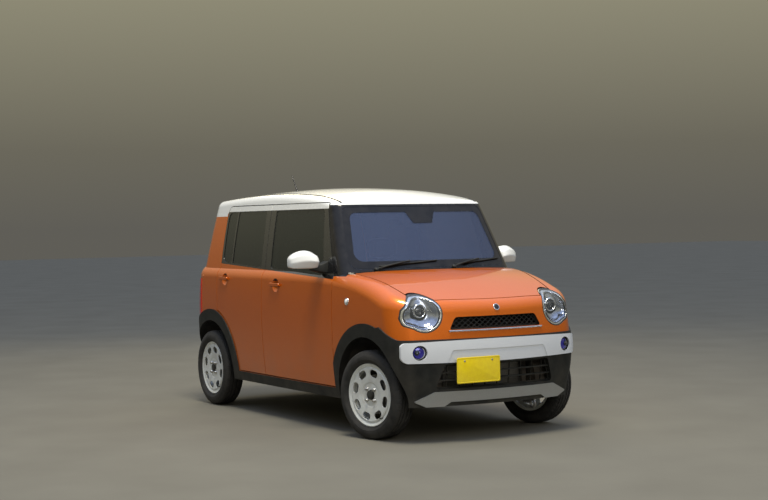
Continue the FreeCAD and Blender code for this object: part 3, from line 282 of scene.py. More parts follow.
def metal(name, colour, roughness, scale, stretch=(1, 1, 1)):
    """Bare or cast metal with fine marks along its grain."""
    graph = Graph(name, Metallic=1.0)
    marks = graph.noise(scale, 4.0, stretch)
    darker = [c * 0.7 for c in colour]
    graph.wire("Base Color", graph.mix(graph.span(marks, 0.3, 0.7), colour, darker))
    graph.wire("Roughness", graph.span(marks, 0.3, 0.7, roughness * 0.8, roughness * 1.25))
    graph.bump(marks, 0.08, 0.0005)
    return graph.material


def glass(name, colour, alpha):
    """A tinted pane as a thin coated surface: see-through, with full reflections."""
    graph = Graph(name, Base_Color=colour, Alpha=alpha, Specular_IOR_Level=0.8, Coat_Weight=0.4,
                  Coat_Roughness=0.01)
    graph.wire("Roughness", graph.span(graph.noise(5.0, 5.0), 0.35, 0.7, 0.012, 0.05))
    return graph.material


def shiny(name, colour, roughness, metallic=0.0):
    """Smooth glass or plastic with a trace of haze."""
    colours = (colour, [c * 0.85 for c in colour])
    return surface(name, (25.0, 4.0), (0.3, 0.7), colours, (0, 1, roughness, roughness * 2 + 0.01),
                   Metallic=metallic, Coat_Weight=1.0, Coat_Roughness=0.01)


def lamp_red():
    graph = Graph("lamp_red", Roughness=0.08, Coat_Weight=1.0)
    ribs = graph.wave(graph.axis("Z"), 900.0)
    graph.wire("Base Color", graph.mix(graph.span(ribs, -1, 1), (0.42, 0.008, 0.008), (0.6, 0.02, 0.015)))
    graph.bump(ribs, 0.2, 0.001)
    return graph.material


def seat_cloth(name, dark, light, pitch):
    """Woven upholstery: two crossed waves with a soft nap."""
    graph = Graph(name, Roughness=0.9, Sheen_Weight=0.3, Sheen_Roughness=0.5)
    across = graph.wave(graph.axis("Y"), pitch)
    along = graph.wave(graph.math("ADD", graph.axis("X"), graph.axis("Z")), pitch)
    weave = graph.math("MULTIPLY", across, along)
    worn = graph.span(graph.noise(9.0, 4.0), 0.35, 0.7, 0.0, 0.35)
    tone = graph.mix(graph.span(weave, -1, 1), dark, light)
    graph.wire("Base Color", graph.mix(worn, tone, light))
    graph.bump(weave, 0.4, 0.0006)
    return graph.material


def split_frame():
    """The doors' window frames: white along the roof, black round the glass."""
    graph = Graph("door_frames", Coat_Weight=1.0, Coat_Roughness=0.03)
    top = graph.span(graph.axis("Z"), 1.5045, 1.5055)
    graph.wire("Base Color", graph.mix(top, (0.009, 0.009, 0.01), (0.8, 0.81, 0.8)))
    graph.wire("Roughness", graph.span(graph.noise(30.0, 3.0), 0.3, 0.7, 0.18, 0.3))
    return graph.material


ORANGE = ((0.86, 0.225, 0.008), (0.62, 0.12, 0.004), 0.35, 1.0)
WHITE = ((0.8, 0.81, 0.8), (0.72, 0.74, 0.74), 0.0, 0.3)
MATERIALS = {
    "orange": paint("paint_orange", *ORANGE, (0.018, 0.018, 0.018)),
    "bonnet": paint("paint_bonnet", *ORANGE),
    "white": paint("paint_white", *WHITE),
    "roof": paint("paint_roof", *WHITE, (0.42, 0.41, 0.38)),
    "pearl": paint("band_pearl", (0.84, 0.86, 0.88), (0.72, 0.75, 0.79), 0.1, 0.8),
    "silver": paint("skid_silver", (0.5, 0.51, 0.51), (0.36, 0.37, 0.37), 0.6, 1.0),
    "black": plastic("trim_black", (0.01, 0.011, 0.01), 0.6, 1100.0, 0.25, 0.12),
    "gloss": plastic("gloss_black", (0.008, 0.008, 0.009), 0.12, 900.0, 0.02, 0.1),
    "under": plastic("underbody", (0.02, 0.02, 0.021), 0.7, 160.0, 0.5, 0.6),
    "interior": plastic("interior", (0.028, 0.027, 0.027), 0.6, 800.0, 0.3, 0.05),
    "trim_grey": plastic("trim_grey", (0.105, 0.1, 0.094), 0.6, 700.0, 0.3, 0.03),
    "needle": shiny("needle_red", (0.75, 0.03, 0.02), 0.3),
    "cast": metal("cast_steel", (0.3, 0.29, 0.28), 0.5, 180.0),
    "exhaust": metal("exhaust_steel", (0.48, 0.44, 0.4), 0.38, 400.0, (0.1, 1, 1)),
    "chrome": metal("chrome", (0.86, 0.87, 0.88), 0.06, 60.0),
    "bowl": metal("lamp_bowl", (0.42, 0.46, 0.56), 0.14, 40.0),
    "chrome_dull": metal("nut_steel", (0.55, 0.54, 0.52), 0.3, 300.0),
    "glass_dark": glass("glass_dark", (0.01, 0.014, 0.013), 0.8),
    "glass_front": glass("glass_front_doors", (0.012, 0.017, 0.016), 0.62),
    "glass_clear": glass("glass_clear", (0.045, 0.065, 0.14), 0.42),
    "lens": glass("lens_clear", (0.75, 0.8, 0.82), 0.035),
    "lens_solid": shiny("lens_frosted", (0.8, 0.82, 0.83), 0.15),
    "projector": shiny("projector_glass", (0.006, 0.01, 0.018), 0.03),
    "fog_glass": shiny("fog_glass", (0.035, 0.03, 0.42), 0.04, 0.3),
    "amber": shiny("amber_bulb", (0.9, 0.28, 0.02), 0.1),
    "mirror": shiny("mirror_glass", (0.82, 0.84, 0.86), 0.015, 1.0),
    "floor": surface("floor", (1.3, 4.0), (0.2, 0.8), ((0.14, 0.132, 0.108), (0.17, 0.161, 0.132)),
                     None, ((60.0, 2.0), 0.05, 0.002), Roughness=0.9, Specular_IOR_Level=0.05),
    "plate": surface("plate_yellow", (40.0, 4.0), (0.3, 0.7), ((0.96, 0.74, 0.005), (0.9, 0.66, 0.005)),
                     None, ((300.0, 2.0), 0.03, 0.0005), (0.35, 0.15, 0.9), Coat_Weight=0.3),
    "tyre": surface("tyre_rubber", (20.0, 6.0), (0.3, 0.75), ((0.014, 0.014, 0.014), (0.045, 0.042, 0.038)),
                    (0, 1, 0.62, 0.85), ((500.0, 3.0), 0.25, 0.0008), Specular_IOR_Level=0.35),
    "steel": surface("steel_white", (16.0, 6.0), (0.45, 0.8, 0.0, 0.5),
                     ((0.66, 0.68, 0.66), (0.42, 0.38, 0.31)), (0, 0.5, 0.32, 0.6),
                     ((240.0, 2.0), 0.05, 0.0005), Coat_Weight=0.5, Coat_Roughness=0.1),
    "red": lamp_red(),
    "cloth": seat_cloth("seat_cloth", (0.03, 0.028, 0.027), (0.062, 0.058, 0.055), 2600.0),
    "cloth_centre": seat_cloth("seat_centre", (0.085, 0.08, 0.074), (0.15, 0.142, 0.132), 1500.0),
    "door_frame": split_frame(),
}

# CAD nodes by material; a star stands for each of the four corners
NODE_MATERIALS = {
    "orange": "front_fenders nose_panel body_sides tailgate door_*",
    "bonnet": "bonnet",
    "roof": "roof",
    "white": "tailgate_top",
    "pearl": "bumper_band fog_lamps",
    "silver": "skid_plate",
    "black": "front_bumper side_cladding rear_bumper lower_grille upper_grille",
    "gloss": "windscreen_frame centre_pillars antenna headlamp_bowls",
    "under": "floor_pan front_suspension rear_axle fuel_tank",
    "interior": "dashboard steering_wheel",
    "cast": "knuckle_left knuckle_right engine radiator tow_hook",
    "exhaust": "exhaust",
    "lens": "headlamp_lenses",
    "red": "tail_lamps",
    "glass_clear": "windscreen",
    "glass_dark": "tailgate_glass door_rear_left_glass door_rear_right_glass",
    "glass_front": "door_front_left_glass door_front_right_glass",
    "steel": "rim_*",
    "tyre": "tyre_*",
    "cloth": "front_seats rear_seats",
    "door_frame": "door_*_frame",
}


def dress_nodes():
    for material, names in NODE_MATERIALS.items():
        for name in names.split():
            for corner in CORNERS if "*" in name else ("",):
                slots = NODES[name.replace("*", corner)].data.materials
                slots.clear()
                slots.append(MATERIALS[material])


# Making pieces


def piece(name, points, faces, material, body="root", place=None, smooth=True):
    """A mesh piece in the part's frame, riding on a body."""
    mesh = bpy.data.meshes.new(name)
    mesh.from_pydata([tuple(p) for p in points], [], faces)
    if place is not None:
        mesh.transform(place)
    outward = bmesh.new()
    outward.from_mesh(mesh)
    bmesh.ops.recalc_face_normals(outward, faces=outward.faces)
    outward.to_mesh(mesh)
    outward.free()
    if smooth:
        mesh.shade_smooth()
    mesh.materials.append(MATERIALS[material])
    made = shown(name, mesh)
    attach(made, body)
    return made


def soften(made, width):
    """Rounds a piece's edges."""
    bevel = made.modifiers.new("edges", "BEVEL")
    bevel.width = width / 1000
    bevel.segments = 3
    bevel.limit_method = "ANGLE"
    bevel.angle_limit = radians(35)
    made.data.shade_smooth()


def lofted(rings, closed=True, capped=True):
    """Points and faces of a skin over rings of equal count."""
    count = len(rings[0])
    points = [p for ring in rings for p in ring]
    faces = []
    for i in range(len(rings) - 1):
        for j in range(count if closed else count - 1):
            k = (j + 1) % count
            faces.append((i * count + j, i * count + k, (i + 1) * count + k, (i + 1) * count + j))
    if capped:
        faces.append(tuple(range(count - 1, -1, -1)))
        faces.append(tuple(range(len(points) - count, len(points))))
    return points, faces


def turned(name, profile, at, along, material, steps=48, capped=True, body="root"):
    """A turned piece: the profile is (height along the axis, radius)."""
    turn = Vector((0, 0, 1)).rotation_difference(Vector(along)).to_matrix().to_4x4()
    angles = [2 * pi * i / steps for i in range(steps)]
    rings = [[(r / 1000 * cos(a), r / 1000 * sin(a), h / 1000) for a in angles] for h, r in profile]
    piece(name, *lofted(rings, True, capped), material, body, moved(at) @ turn)


def slab(name, outline, thick, material, place, edge=0, body="root"):
    """A flat outline in its own XY, thickened along Z, put in place by a matrix."""
    rings = [[(u / 1000, v / 1000, w / 1000) for u, v in outline] for w in (0, thick)]
    made = piece(name, *lofted(rings), material, body, place, False)
    if edge:
        soften(made, edge)


def rounded(width, height, radius, steps=6):
    """A rounded rectangle's outline about its middle."""
    points = []
    for turn, (sx, sy) in enumerate(((1, 1), (-1, 1), (-1, -1), (1, -1))):
        cx, cy = sx * (width / 2 - radius), sy * (height / 2 - radius)
        for i in range(steps + 1):
            a = radians(90 * turn + 90 * i / steps)
            points.append((cx + radius * cos(a), cy + radius * sin(a)))
    return points


def panel(name, spot, size, thick, material, edge, body="root", up=(0, 0, 1)):
    """A rounded plate on a spot (place, way it faces); size is width, height and corner radius."""
    slab(name, rounded(*size), thick, material, facing(*spot, up), edge, body)


def block(name, at, size, material, edge, body="root", turn=Matrix.Identity(4)):
    """A box with rounded edges about its middle."""
    width, depth, height = size
    outline = rounded(width, depth, min(edge * 1.5, width / 2.1, depth / 2.1))
    place = moved(at) @ turn @ moved((0, 0, -height / 2000))
    slab(name, outline, height, material, place, edge, body)


def wire(name, points, radius, material, body="root", smooth=True):
    """A round rod or cable along points."""
    data = bpy.data.curves.new(name, "CURVE")
    data.dimensions = "3D"
    data.bevel_depth = radius / 1000
    data.bevel_resolution = 3
    data.use_fill_caps = True
    spline = data.splines.new("NURBS" if smooth else "POLY")
    spline.points.add(len(points) - 1)
    for spot, point in zip(spline.points, points):
        spot.co = (*point, 1)
    if smooth:
        spline.order_u = 3
        spline.use_endpoint_u = True
    data.materials.append(MATERIALS[material])
    made = shown(name, data)
    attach(made, body)


def facing(at, normal, up=(0, 0, 1)):
    """A place whose Z looks along the normal and whose Y is as near to up as it can be."""
    z = Vector(normal).normalized()
    x = Vector(up).cross(z).normalized()
    y = z.cross(x)
    return moved(at) @ Matrix((x, y, z)).transposed().to_4x4()


def skin(*names):
    """A search tree of these CAD nodes' faces."""
    points, faces = [], []
    for name in names:
        start = len(points)
        points += [v.co.copy() for v in NODES[name].data.vertices]
        faces += [[start + i for i in p.vertices] for p in NODES[name].data.polygons]
    return BVHTree.FromPolygons(points, faces)


FORWARD, BACK, UP, DOWN = (1, 0, 0), (-1, 0, 0), (0, 0, 1), (0, 0, -1)


def spot_on(tree, start, direction=BACK):
    """A point of the skin under a ray, and the way the skin faces there."""
    hit, normal, _, _ = tree.ray_cast(Vector(start), Vector(direction))
    if hit is None:
        raise ValueError("no surface under %s" % (tuple(start),))
    return hit, -normal if normal.dot(Vector(direction)) > 0 else normal


def on_skin(tree, start, lift, direction=BACK):
    """The point where a ray meets the skin, lifted off it against the ray."""
    hit, out = spot_on(tree, start, direction)
    return hit + out * lift


def draped(name, tree, rows, lift, material, closed=True, thick=0.0, direction=BACK, body="root"):
    """A patch laid on a skin: rows of start points are cast along a direction."""
    rings = [[on_skin(tree, p, lift, direction) for p in row] for row in rows]
    made = piece(name, *lofted(rings, closed, False), material, body)
    if thick:
        wall = made.modifiers.new("wall", "SOLIDIFY")
        wall.thickness = thick
        wall.offset = 0


def ahead_of(u, v):
    """A start point before the nose."""
    return Vector((2.2, u, v))


def behind(u, v):
    """A start point behind the tail."""
    return Vector((-2.2, u, v))


# Wheels

STEER_REST = 12
KINGPIN_Y, WHEEL_ARM, REAR_WHEEL_Y = 0.545, 0.1, 0.645
WHEEL_FACE, NUT_CIRCLE, LIP_Y = 0.051, 0.05, 0.0626
VALVE_AT = (-0.114, 0.053, -0.141)


def wheel_places():
    """Each wheel body's place, with Y along the axle and pointing out of the car."""
    places = {}
    for side, sign in SIDES:
        flip = tilted(0 if sign > 0 else 180, "Z")
        steer = tilted(STEER_REST, "Z")
        kingpin = moved((AXLE_FRONT, sign * KINGPIN_Y, WHEEL_Z))
        places["wheel_front_" + side] = kingpin @ steer @ moved((0, sign * WHEEL_ARM, 0)) @ flip
        places["wheel_rear_" + side] = moved((AXLE_REAR, sign * REAR_WHEEL_Y, WHEEL_Z)) @ flip
    return places


# Half a tyre's section from bead to middle: radius and half width in millimetres
TYRE_SECTION = {
    "wall": ((195, 56.8), (203.4, 57), (206, 65.5), (209, 71.2), (212, 70), (220, 76.8), (230, 80.6),
             (230.5, 81.5), (233, 81.7), (233.5, 80.9), (242, 81.6), (252, 80.2), (260, 77.2)),
    "edge": ((266, 74.2), (274, 71.2), (280, 67.2)),
    "rib": ((284.5, 61.8), (287.5, 54), (288.8, 45)),
}
TREAD_STEPS = 300
TREAD_GROOVES = (0.0155, 0.0395)


def tyre_section():
    """Half a tyre's section with its grooves: (radius, half width, kind)."""
    section = [(r / 1000, w / 1000, kind) for kind, rows in TYRE_SECTION.items() for r, w in rows]
    for middle in reversed(TREAD_GROOVES):
        section += [(0.2893, middle + 0.004, "rib"), (0.2825, middle + 0.003, "groove"),
                    (0.2825, middle - 0.003, "groove"), (0.2893, middle - 0.004, "rib"),
                    (0.2894, middle - 0.009, "rib")]
    return section + [(0.2895, 0.0, "rib")]


def tread_depth(kind, width, step):
    """How deep the lateral cuts are at this step of the tread."""
    phase = (step + int(abs(width) * 400) * (1 if width > 0 else 3)) % 5
    if kind == "edge" or (kind == "rib" and abs(width) > 0.042):
        return 0.006 if phase == 0 else 0.0
    if kind == "rib" and abs(width) > 0.01:
        return 0.0035 if phase == 2 else 0.0
    return 0.0


def add_tyres():
    half = tyre_section()
    section = half + [(r, -w, kind) for r, w, kind in reversed(half[:-1])]
    rings = []
    for step in range(TREAD_STEPS):
        angle = 2 * pi * step / TREAD_STEPS
        ring = []
        for radius, width, kind in section:
            r = radius - tread_depth(kind, width, step)
            ring.append((r * cos(angle), width, r * sin(angle)))
        rings.append(ring)
    points, faces = lofted(rings + [rings[0]], False, False)
    for body, place in wheel_places().items():
        tyre = piece(body + "_tread", points, faces, "tyre", body, place)
        tyre.data.set_sharp_from_angle(angle=radians(38))
        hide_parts(body.replace("wheel", "tyre"))


def add_wheel_details():
    nut = [(0, 12.5), (2, 12.5), (3, 10.5), (15, 10.5), (19, 7)]
    cap = [(0, 33), (1.5, 32.8), (4, 31.2), (10, 29), (12.5, 24), (13.5, 0)]
    valve = [(0, 4), (18, 3.5), (20, 4.5), (28, 4.5)]
    lip = [(0, 198.5), (1.5, 200.5), (1.5, 202.5), (0, 203.5)]
    for body, place in wheel_places().items():
        axis = place.to_3x3() @ Vector((0, 1, 0))
        for i in range(4):
            a = radians(45 + 90 * i)
            at = place @ Vector((NUT_CIRCLE * cos(a), WHEEL_FACE, NUT_CIRCLE * sin(a)))
            turned("%s_nut_%d" % (body, i), nut, at, axis, "chrome_dull", 6, body=body)
        turned(body + "_cap", cap, place @ Vector((0, WHEEL_FACE, 0)), axis, "black", 40, body=body)
        turned(body + "_valve", valve, place @ Vector(VALVE_AT), axis, "black", 12, body=body)
        turned(body + "_lip", lip, place @ Vector((0, LIP_Y, 0)), axis, "steel", 96, False, body)


# Outlines and trims that follow the skin

def arced(corners, steps=5):
    """A closed outline through (u, v, radius) corners, each rounded by its radius."""
    points = []
    count = len(corners)
    for i, (u, v, radius) in enumerate(corners):
        corner = Vector((u, v))
        back = (Vector(corners[i - 1][:2]) - corner).normalized()
        ahead = (Vector(corners[(i + 1) % count][:2]) - corner).normalized()
        half = back.angle(ahead) / 2
        middle = corner + (back + ahead).normalized() * radius / sin(half)
        start = corner + back * radius / tan(half) - middle
        end = corner + ahead * radius / tan(half) - middle
        for k in range(steps + 1):
            points.append(middle + start.lerp(end, k / steps).normalized() * radius)
    return points


def denser(line, steps):
    """Each run of a ring split evenly, so that rings keep matching points."""
    return [a.lerp(b, i / steps) for a, b in zip(line, line[1:] + line[:1]) for i in range(steps)]


def strip(name, tree, line, across, height, material, direction=BACK):
    """A low rounded moulding along start points on a skin; across is half its width."""
    rows = []
    for share in (-1.0, -0.85, -0.4, 0.4, 0.85, 1.0):
        lift = height * (1 - share ** 4) + 0.0002
        rows.append([on_skin(tree, Vector(p) + Vector(across) * share, lift, direction) for p in line])
    piece(name, *lofted(rows, False, False), material)


# The windscreen's black border, sensor box and wipers; the roof's mouldings

SCREEN = ((0.626, 1.092, 0.05), (0.559, 1.511, 0.045), (-0.559, 1.511, 0.045), (-0.626, 1.092, 0.05))
SCREEN_CLEAR = ((0.578, 1.14, 0.05), (0.52, 1.472, 0.05), (-0.52, 1.472, 0.05), (-0.578, 1.14, 0.05))


def add_windscreen_trim():
    tree = skin("windscreen")
    outer, inner = arced(SCREEN), arced(SCREEN_CLEAR)
    rows = []
    for step in range(13):
        line = [a.lerp(b, step / 12) for a, b in zip(outer, inner)]
        rows.append([ahead_of(*p) for p in denser(line, 12)])
    draped("windscreen_border", tree, rows, 0.0016, "gloss")
    rows = []
    for z in (1.475, 1.45, 1.42, 1.395):
        half = 0.075 + (z - 1.395) * 0.55
        rows.append([ahead_of(half * t, z) for t in (-1, -0.6, -0.2, 0.2, 0.6, 1)])
    draped("sensor_window", tree, rows, 0.0018, "gloss", False)
    block("sensor_box", (0.555, 0, 1.425), (70, 130, 80), "interior", 12)
    block("inside_mirror", (0.5, 0, 1.395), (22, 235, 62), "interior", 10)
    wire("inside_mirror_stem", [(0.55, 0, 1.44), (0.525, 0, 1.425), (0.508, 0, 1.4)], 8, "interior")


# Wipers: side of the pivot, its y and the y to which the blade reaches
WIPERS = (("right", -0.455, -0.02), ("left", 0.115, 0.545))


def add_wipers():
    """Two arms that rest low on the glass and point to the car's left."""
    tree = skin("windscreen", "windscreen_frame")
    for side, pivot_y, tip_y in WIPERS:
        name = "wiper_%s_" % side
        pivot = on_skin(tree, ahead_of(pivot_y, 1.083), 0.012)
        middle_y = (pivot_y + tip_y) / 2 + 0.03
        middle = on_skin(tree, ahead_of(middle_y, 1.128), 0.026)
        elbow = pivot.lerp(middle, 0.3) + Vector((0.004, 0, 0.008))
        wire(name + "arm", [pivot, elbow, middle], 6.5, "black")
        turned(name + "pivot", [(-20, 16), (4, 16), (9, 12), (10, 0)], pivot, (0.6, 0, 0.8), "black", 24)
        line = []
        for i in range(13):
            y = middle_y + (tip_y - pivot_y) * (i / 12 - 0.5)
            line.append(on_skin(tree, ahead_of(y, 1.104 + 0.03 * (i / 12)), 0.009))
        wire(name + "blade", line, 5.5, "black")
        wire(name + "rubber", [p + Vector((-0.004, 0, -0.003)) for p in line], 3, "tyre")


def add_roof_mouldings():
    tree = skin("roof", "windscreen_frame")
    for side, sign in SIDES:
        line = [(0.595 - 0.02 * i, sign * (0.549 - 0.0004 * i), 2.2) for i in range(97)]
        strip("roof_moulding_" + side, tree, line, (0, 0.008, 0), 0.0035, "black", DOWN)


# Front lamps, badge, plate and strips

LAMP_Y, LAMP_Z, LAMP_R = 0.513, 0.822, 0.122
# The lobe towards the wing: corners (outwards, up) from the lamp's middle
LAMP_LOBE = ((0.0, 0.062), (0.096, 0.06), (0.111, 0.052), (0.1335, 0.0295), (0.1385, 0.02),
             (0.148, -0.024), (0.148, -0.036), (0.138, -0.068), (0.126, -0.079), (0.055, -0.105),
             (0.0, -0.105))
LAMP_STEPS = 96
REFLECTOR_X = 1.4775


def lamp_radius(angle):
    """How far the lamp's outline is from its middle: a circle with a lobe towards the wing."""
    ray = Vector((cos(angle), sin(angle)))
    reach = LAMP_R
    for a, b in zip(LAMP_LOBE, LAMP_LOBE[1:]):
        a, b = Vector(a), Vector(b)
        edge = b - a
        cross = ray.x * edge.y - ray.y * edge.x
        if abs(cross) < 1e-9:
            continue
        distance = (a.x * edge.y - a.y * edge.x) / cross
        share = (a.x * ray.y - a.y * ray.x) / cross
        if 0 <= share <= 1 and distance > reach:
            reach = distance
    return reach


LAMP_OUTLINE = [lamp_radius(2 * pi * i / LAMP_STEPS) for i in range(LAMP_STEPS)]
for _ in range(2):
    LAMP_OUTLINE = [(LAMP_OUTLINE[i - 1] + 2 * r + LAMP_OUTLINE[(i + 1) % LAMP_STEPS]) / 4
                    for i, r in enumerate(LAMP_OUTLINE)]

# The reflector's rings: share of the lamp's radius, depth behind the lens
REFLECTOR = ((0.985, 0.012), (0.96, 0.02), (0.93, 0.02), (0.9, 0.03), (0.82, 0.042), (0.72, 0.051),
             (0.6, 0.058), (0.47, 0.062))


def lamp_ring(sign, inset, share=1.0):
    """Start points round the lamp, inset from its outline."""
    ring = []
    for i, reach in enumerate(LAMP_OUTLINE):
        angle = 2 * pi * i / LAMP_STEPS
        r = (reach - inset) * share
        ring.append(ahead_of(sign * (LAMP_Y + r * cos(angle)), LAMP_Z + r * sin(angle)))
    return ring


def add_headlamps():
    tree = skin("headlamp_lenses")
    angles = [radians(50 - 5 * i) for i in range(11)]
    dome = [(45 * cos(a), 45 * sin(a)) for a in angles]
    collar = [(46, 36.5), (51, 37.5), (53, 41.5), (51, 45.5), (40, 47.5)]
    bulb = [(0, 16.5), (10, 16), (18, 11), (21, 0)]
    for side, sign in SIDES:
        rows = [lamp_ring(sign, d) for d in (0.003, 0.006, 0.01, 0.014, 0.0165)]
        draped("headlamp_bezel_" + side, tree, rows, -0.0065, "chrome", True, 0.003)
        rows = [lamp_ring(sign, d) for d in (0.0168, 0.019, 0.0215)]
        draped("headlamp_seal_" + side, tree, rows, -0.0095, "gloss", True, 0.003)
        rings = []
        for share, depth in REFLECTOR:
            ring = [on_skin(tree, start, 0.0) for start in lamp_ring(sign, 0.02, share)]
            rings.append([(max(p.x - depth, REFLECTOR_X), p.y, p.z) for p in ring])
        piece("headlamp_reflector_" + side, *lofted(rings, True, False), "bowl")
        centre = (1.482, sign * LAMP_Y, LAMP_Z + 0.014)
        turned("headlamp_projector_" + side, dome, centre, FORWARD, "projector", 40, False)
        turned("headlamp_ring_" + side, collar, centre, FORWARD, "chrome", 48, False)
        at = (1.478, sign * (LAMP_Y + 0.121), LAMP_Z - 0.02)
        turned("indicator_bulb_" + side, bulb, at, FORWARD, "amber", 24)


def add_fog_lamps():
    tree = skin("fog_lamps")
    lens = [(0, 38.5), (3, 37), (6, 30), (9, 16), (9.5, 0)]
    ring = [(-4, 49.5), (6, 49), (8, 47), (4, 42), (-4, 39.5)]
    shield = [(0, 17), (12, 16.5), (15, 13), (16, 0)]
    for side, sign in SIDES:
        at, out = spot_on(tree, ahead_of(sign * 0.566, 0.577))
        turned("fog_lens_" + side, lens, at - out * 0.001, out, "fog_glass", 40)
        turned("fog_ring_" + side, ring, at, out, "pearl", 48, False)
        turned("fog_shield_" + side, shield, at + Vector((0, sign * 0.012, 0.002)), out, "projector", 32)


def add_nose_trim():
    """The strip below the upper grille, and a bare roundel in the badge's place."""
    tree = skin("nose_panel", "front_bumper")
    line = [ahead_of(-0.36 + 0.72 * i / 60, 0.706) for i in range(61)]
    strip("grille_strip", tree, line, (0, 0, 0.0065), 0.01, "chrome")
    at, out = spot_on(tree, ahead_of(0, 0.846))
    turned("badge_ring", [(0, 23.5), (3, 23), (4.5, 20.5), (3.5, 17.5)], at, out, "chrome", 48, False)
    turned("badge_disc", [(0, 17.8), (3, 17.5), (3.8, 12), (4, 0)], at, out, "gloss")


def add_side_lamps():
    """The round repeater on each front wing."""
    tree = skin("front_fenders")
    for side, sign in SIDES:
        at, out = spot_on(tree, (0.951, sign * 1.2, 0.884), (0, -sign, 0))
        ring = [(-2, 24.5), (4, 23.5), (6, 20.5), (4, 18)]
        turned("repeater_ring_" + side, ring, at, out, "chrome", 36, False)
        turned("repeater_lens_" + side, [(-2, 18.5), (6, 17), (10, 10), (11, 0)], at, out, "lens_solid", 36)


def add_front_plate():
    """A blank yellow plate, 330 x 165 mm, with a raised rim and two bolts."""
    place = facing((1.695, -0.18, 0.4575), FORWARD)
    slab("front_plate", rounded(330, 165, 10), 1.2, "plate", place, 0.4)
    outer, inner = rounded(326, 161, 9), rounded(316, 151, 7)
    rims = ((outer, 1, 1, 1.2), (outer, 0.992, 0.985, 2.4), (inner, 1, 1, 2.4), (inner, 0.99, 0.985, 1.2))
    rings = [[(u * a / 1000, v * b / 1000, w / 1000) for u, v in line] for line, a, b, w in rims]
    piece("front_plate_rim", *lofted(rings, True, False), "plate", place=place)
    bolt = [(0, 7), (1.5, 6.5), (2.2, 4), (2.2, 0)]
    for i, u in enumerate((-0.105, 0.105)):
        at = place @ Vector((u, 0.058, 0.0012))
        turned("front_plate_bolt_%d" % i, bolt, at, FORWARD, "chrome_dull", 20)
    block("front_plate_bracket", (1.678, -0.18, 0.4575), (30, 260, 100), "black", 6)


# Mirrors

MIRROR_INNER, MIRROR_OUTER, MIRROR_REAR = 0.742, 0.93, 0.512
# The housing's section and its corners' radii, in shares of its depth and height
MIRROR_SECTION = ((0.0, 0.02, 0.05), (0.8, 0.0, 0.14), (1.0, 0.42, 0.2), (0.86, 0.8, 0.22),
                  (0.4, 1.0, 0.25), (0.0, 0.96, 0.06))
# The foot's sections: y, then corners (x, z)
MIRROR_FOOT = ((0.672, ((0.64, 1.062), (0.548, 1.056), (0.548, 1.146), (0.63, 1.15))),
               (0.722, ((0.64, 1.07), (0.548, 1.066), (0.548, 1.128), (0.63, 1.13))),
               (0.79, ((0.62, 1.086), (0.552, 1.086), (0.552, 1.112), (0.62, 1.112))))


def mirror_ring(share):
    """A section of the mirror's housing: flat at the rear and below, domed above, swept back outwards."""
    end = max((1 - abs(2 * share - 1) ** 6) ** (1 / 6), 0.25)
    y = MIRROR_INNER + (MIRROR_OUTER - MIRROR_INNER) * share
    deep = (0.15 - 0.085 * share ** 1.6) * end
    tall = (0.122 - 0.034 * (2 * share - 0.9) ** 2) * end
    low = 1.099 + 0.045 * (1 - end)
    return [(MIRROR_REAR + u * deep, y, low + v * tall) for u, v in arced(MIRROR_SECTION)]


def add_mirrors():
    """Each housing stands on a black foot at the window's corner, with its glass facing the driver."""
    rings = [mirror_ring(0.5 - 0.5 * cos(pi * i / 28)) for i in range(29)]
    foot = [[(x, y, z) for x, z in ring] for y, ring in MIRROR_FOOT]
    for side, sign in SIDES:
        body = "door_front_" + side
        flip = Matrix.Diagonal((1, sign, 1, 1))
        shell = piece("mirror_shell_" + side, *lofted(rings), "white", body, flip)
        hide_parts("mirror_" + side)
        soften(piece("mirror_foot_" + side, *lofted(foot), "black", body, flip, False), 8)
        place = facing((MIRROR_REAR + 0.0012, sign * 0.836, 1.158), BACK)
        slab("mirror_frame_" + side, rounded(164, 94, 34), 3, "black", place, 1, body)
        place = place @ moved((0, 0, 0.0022))
        slab("mirror_glass_" + side, rounded(152, 82, 29), 1.6, "mirror", place, 0.4, body)


# The rear: lamps, handle, wiper, high stop lamp and reflectors

# Windows in the tail lamps: name, height above the lamp's middle, size, material
TAIL_WINDOWS = (("turn", 0.05, 0.036, "amber"), ("reverse", -0.055, 0.03, "lens_solid"))


def add_tail_lamps():
    tree = skin("tail_lamps")
    low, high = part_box("tail_lamps")
    for side, sign in SIDES:
        for name, shift, tall, material in TAIL_WINDOWS:
            rows = []
            for share in (-1.0, -0.9, -0.4, 0.4, 0.9, 1.0):
                lift = 0.0022 if abs(share) < 0.95 else 0.0002
                z = (low[2] + high[2]) / 2 + shift + share * tall / 2
                line = [behind(sign * (0.627 + 0.056 * i / 10), z) for i in range(11)]
                rows.append([on_skin(tree, p, lift, FORWARD) for p in line])
            piece("tail_%s_%s" % (name, side), *lofted(rows, False, False), material)


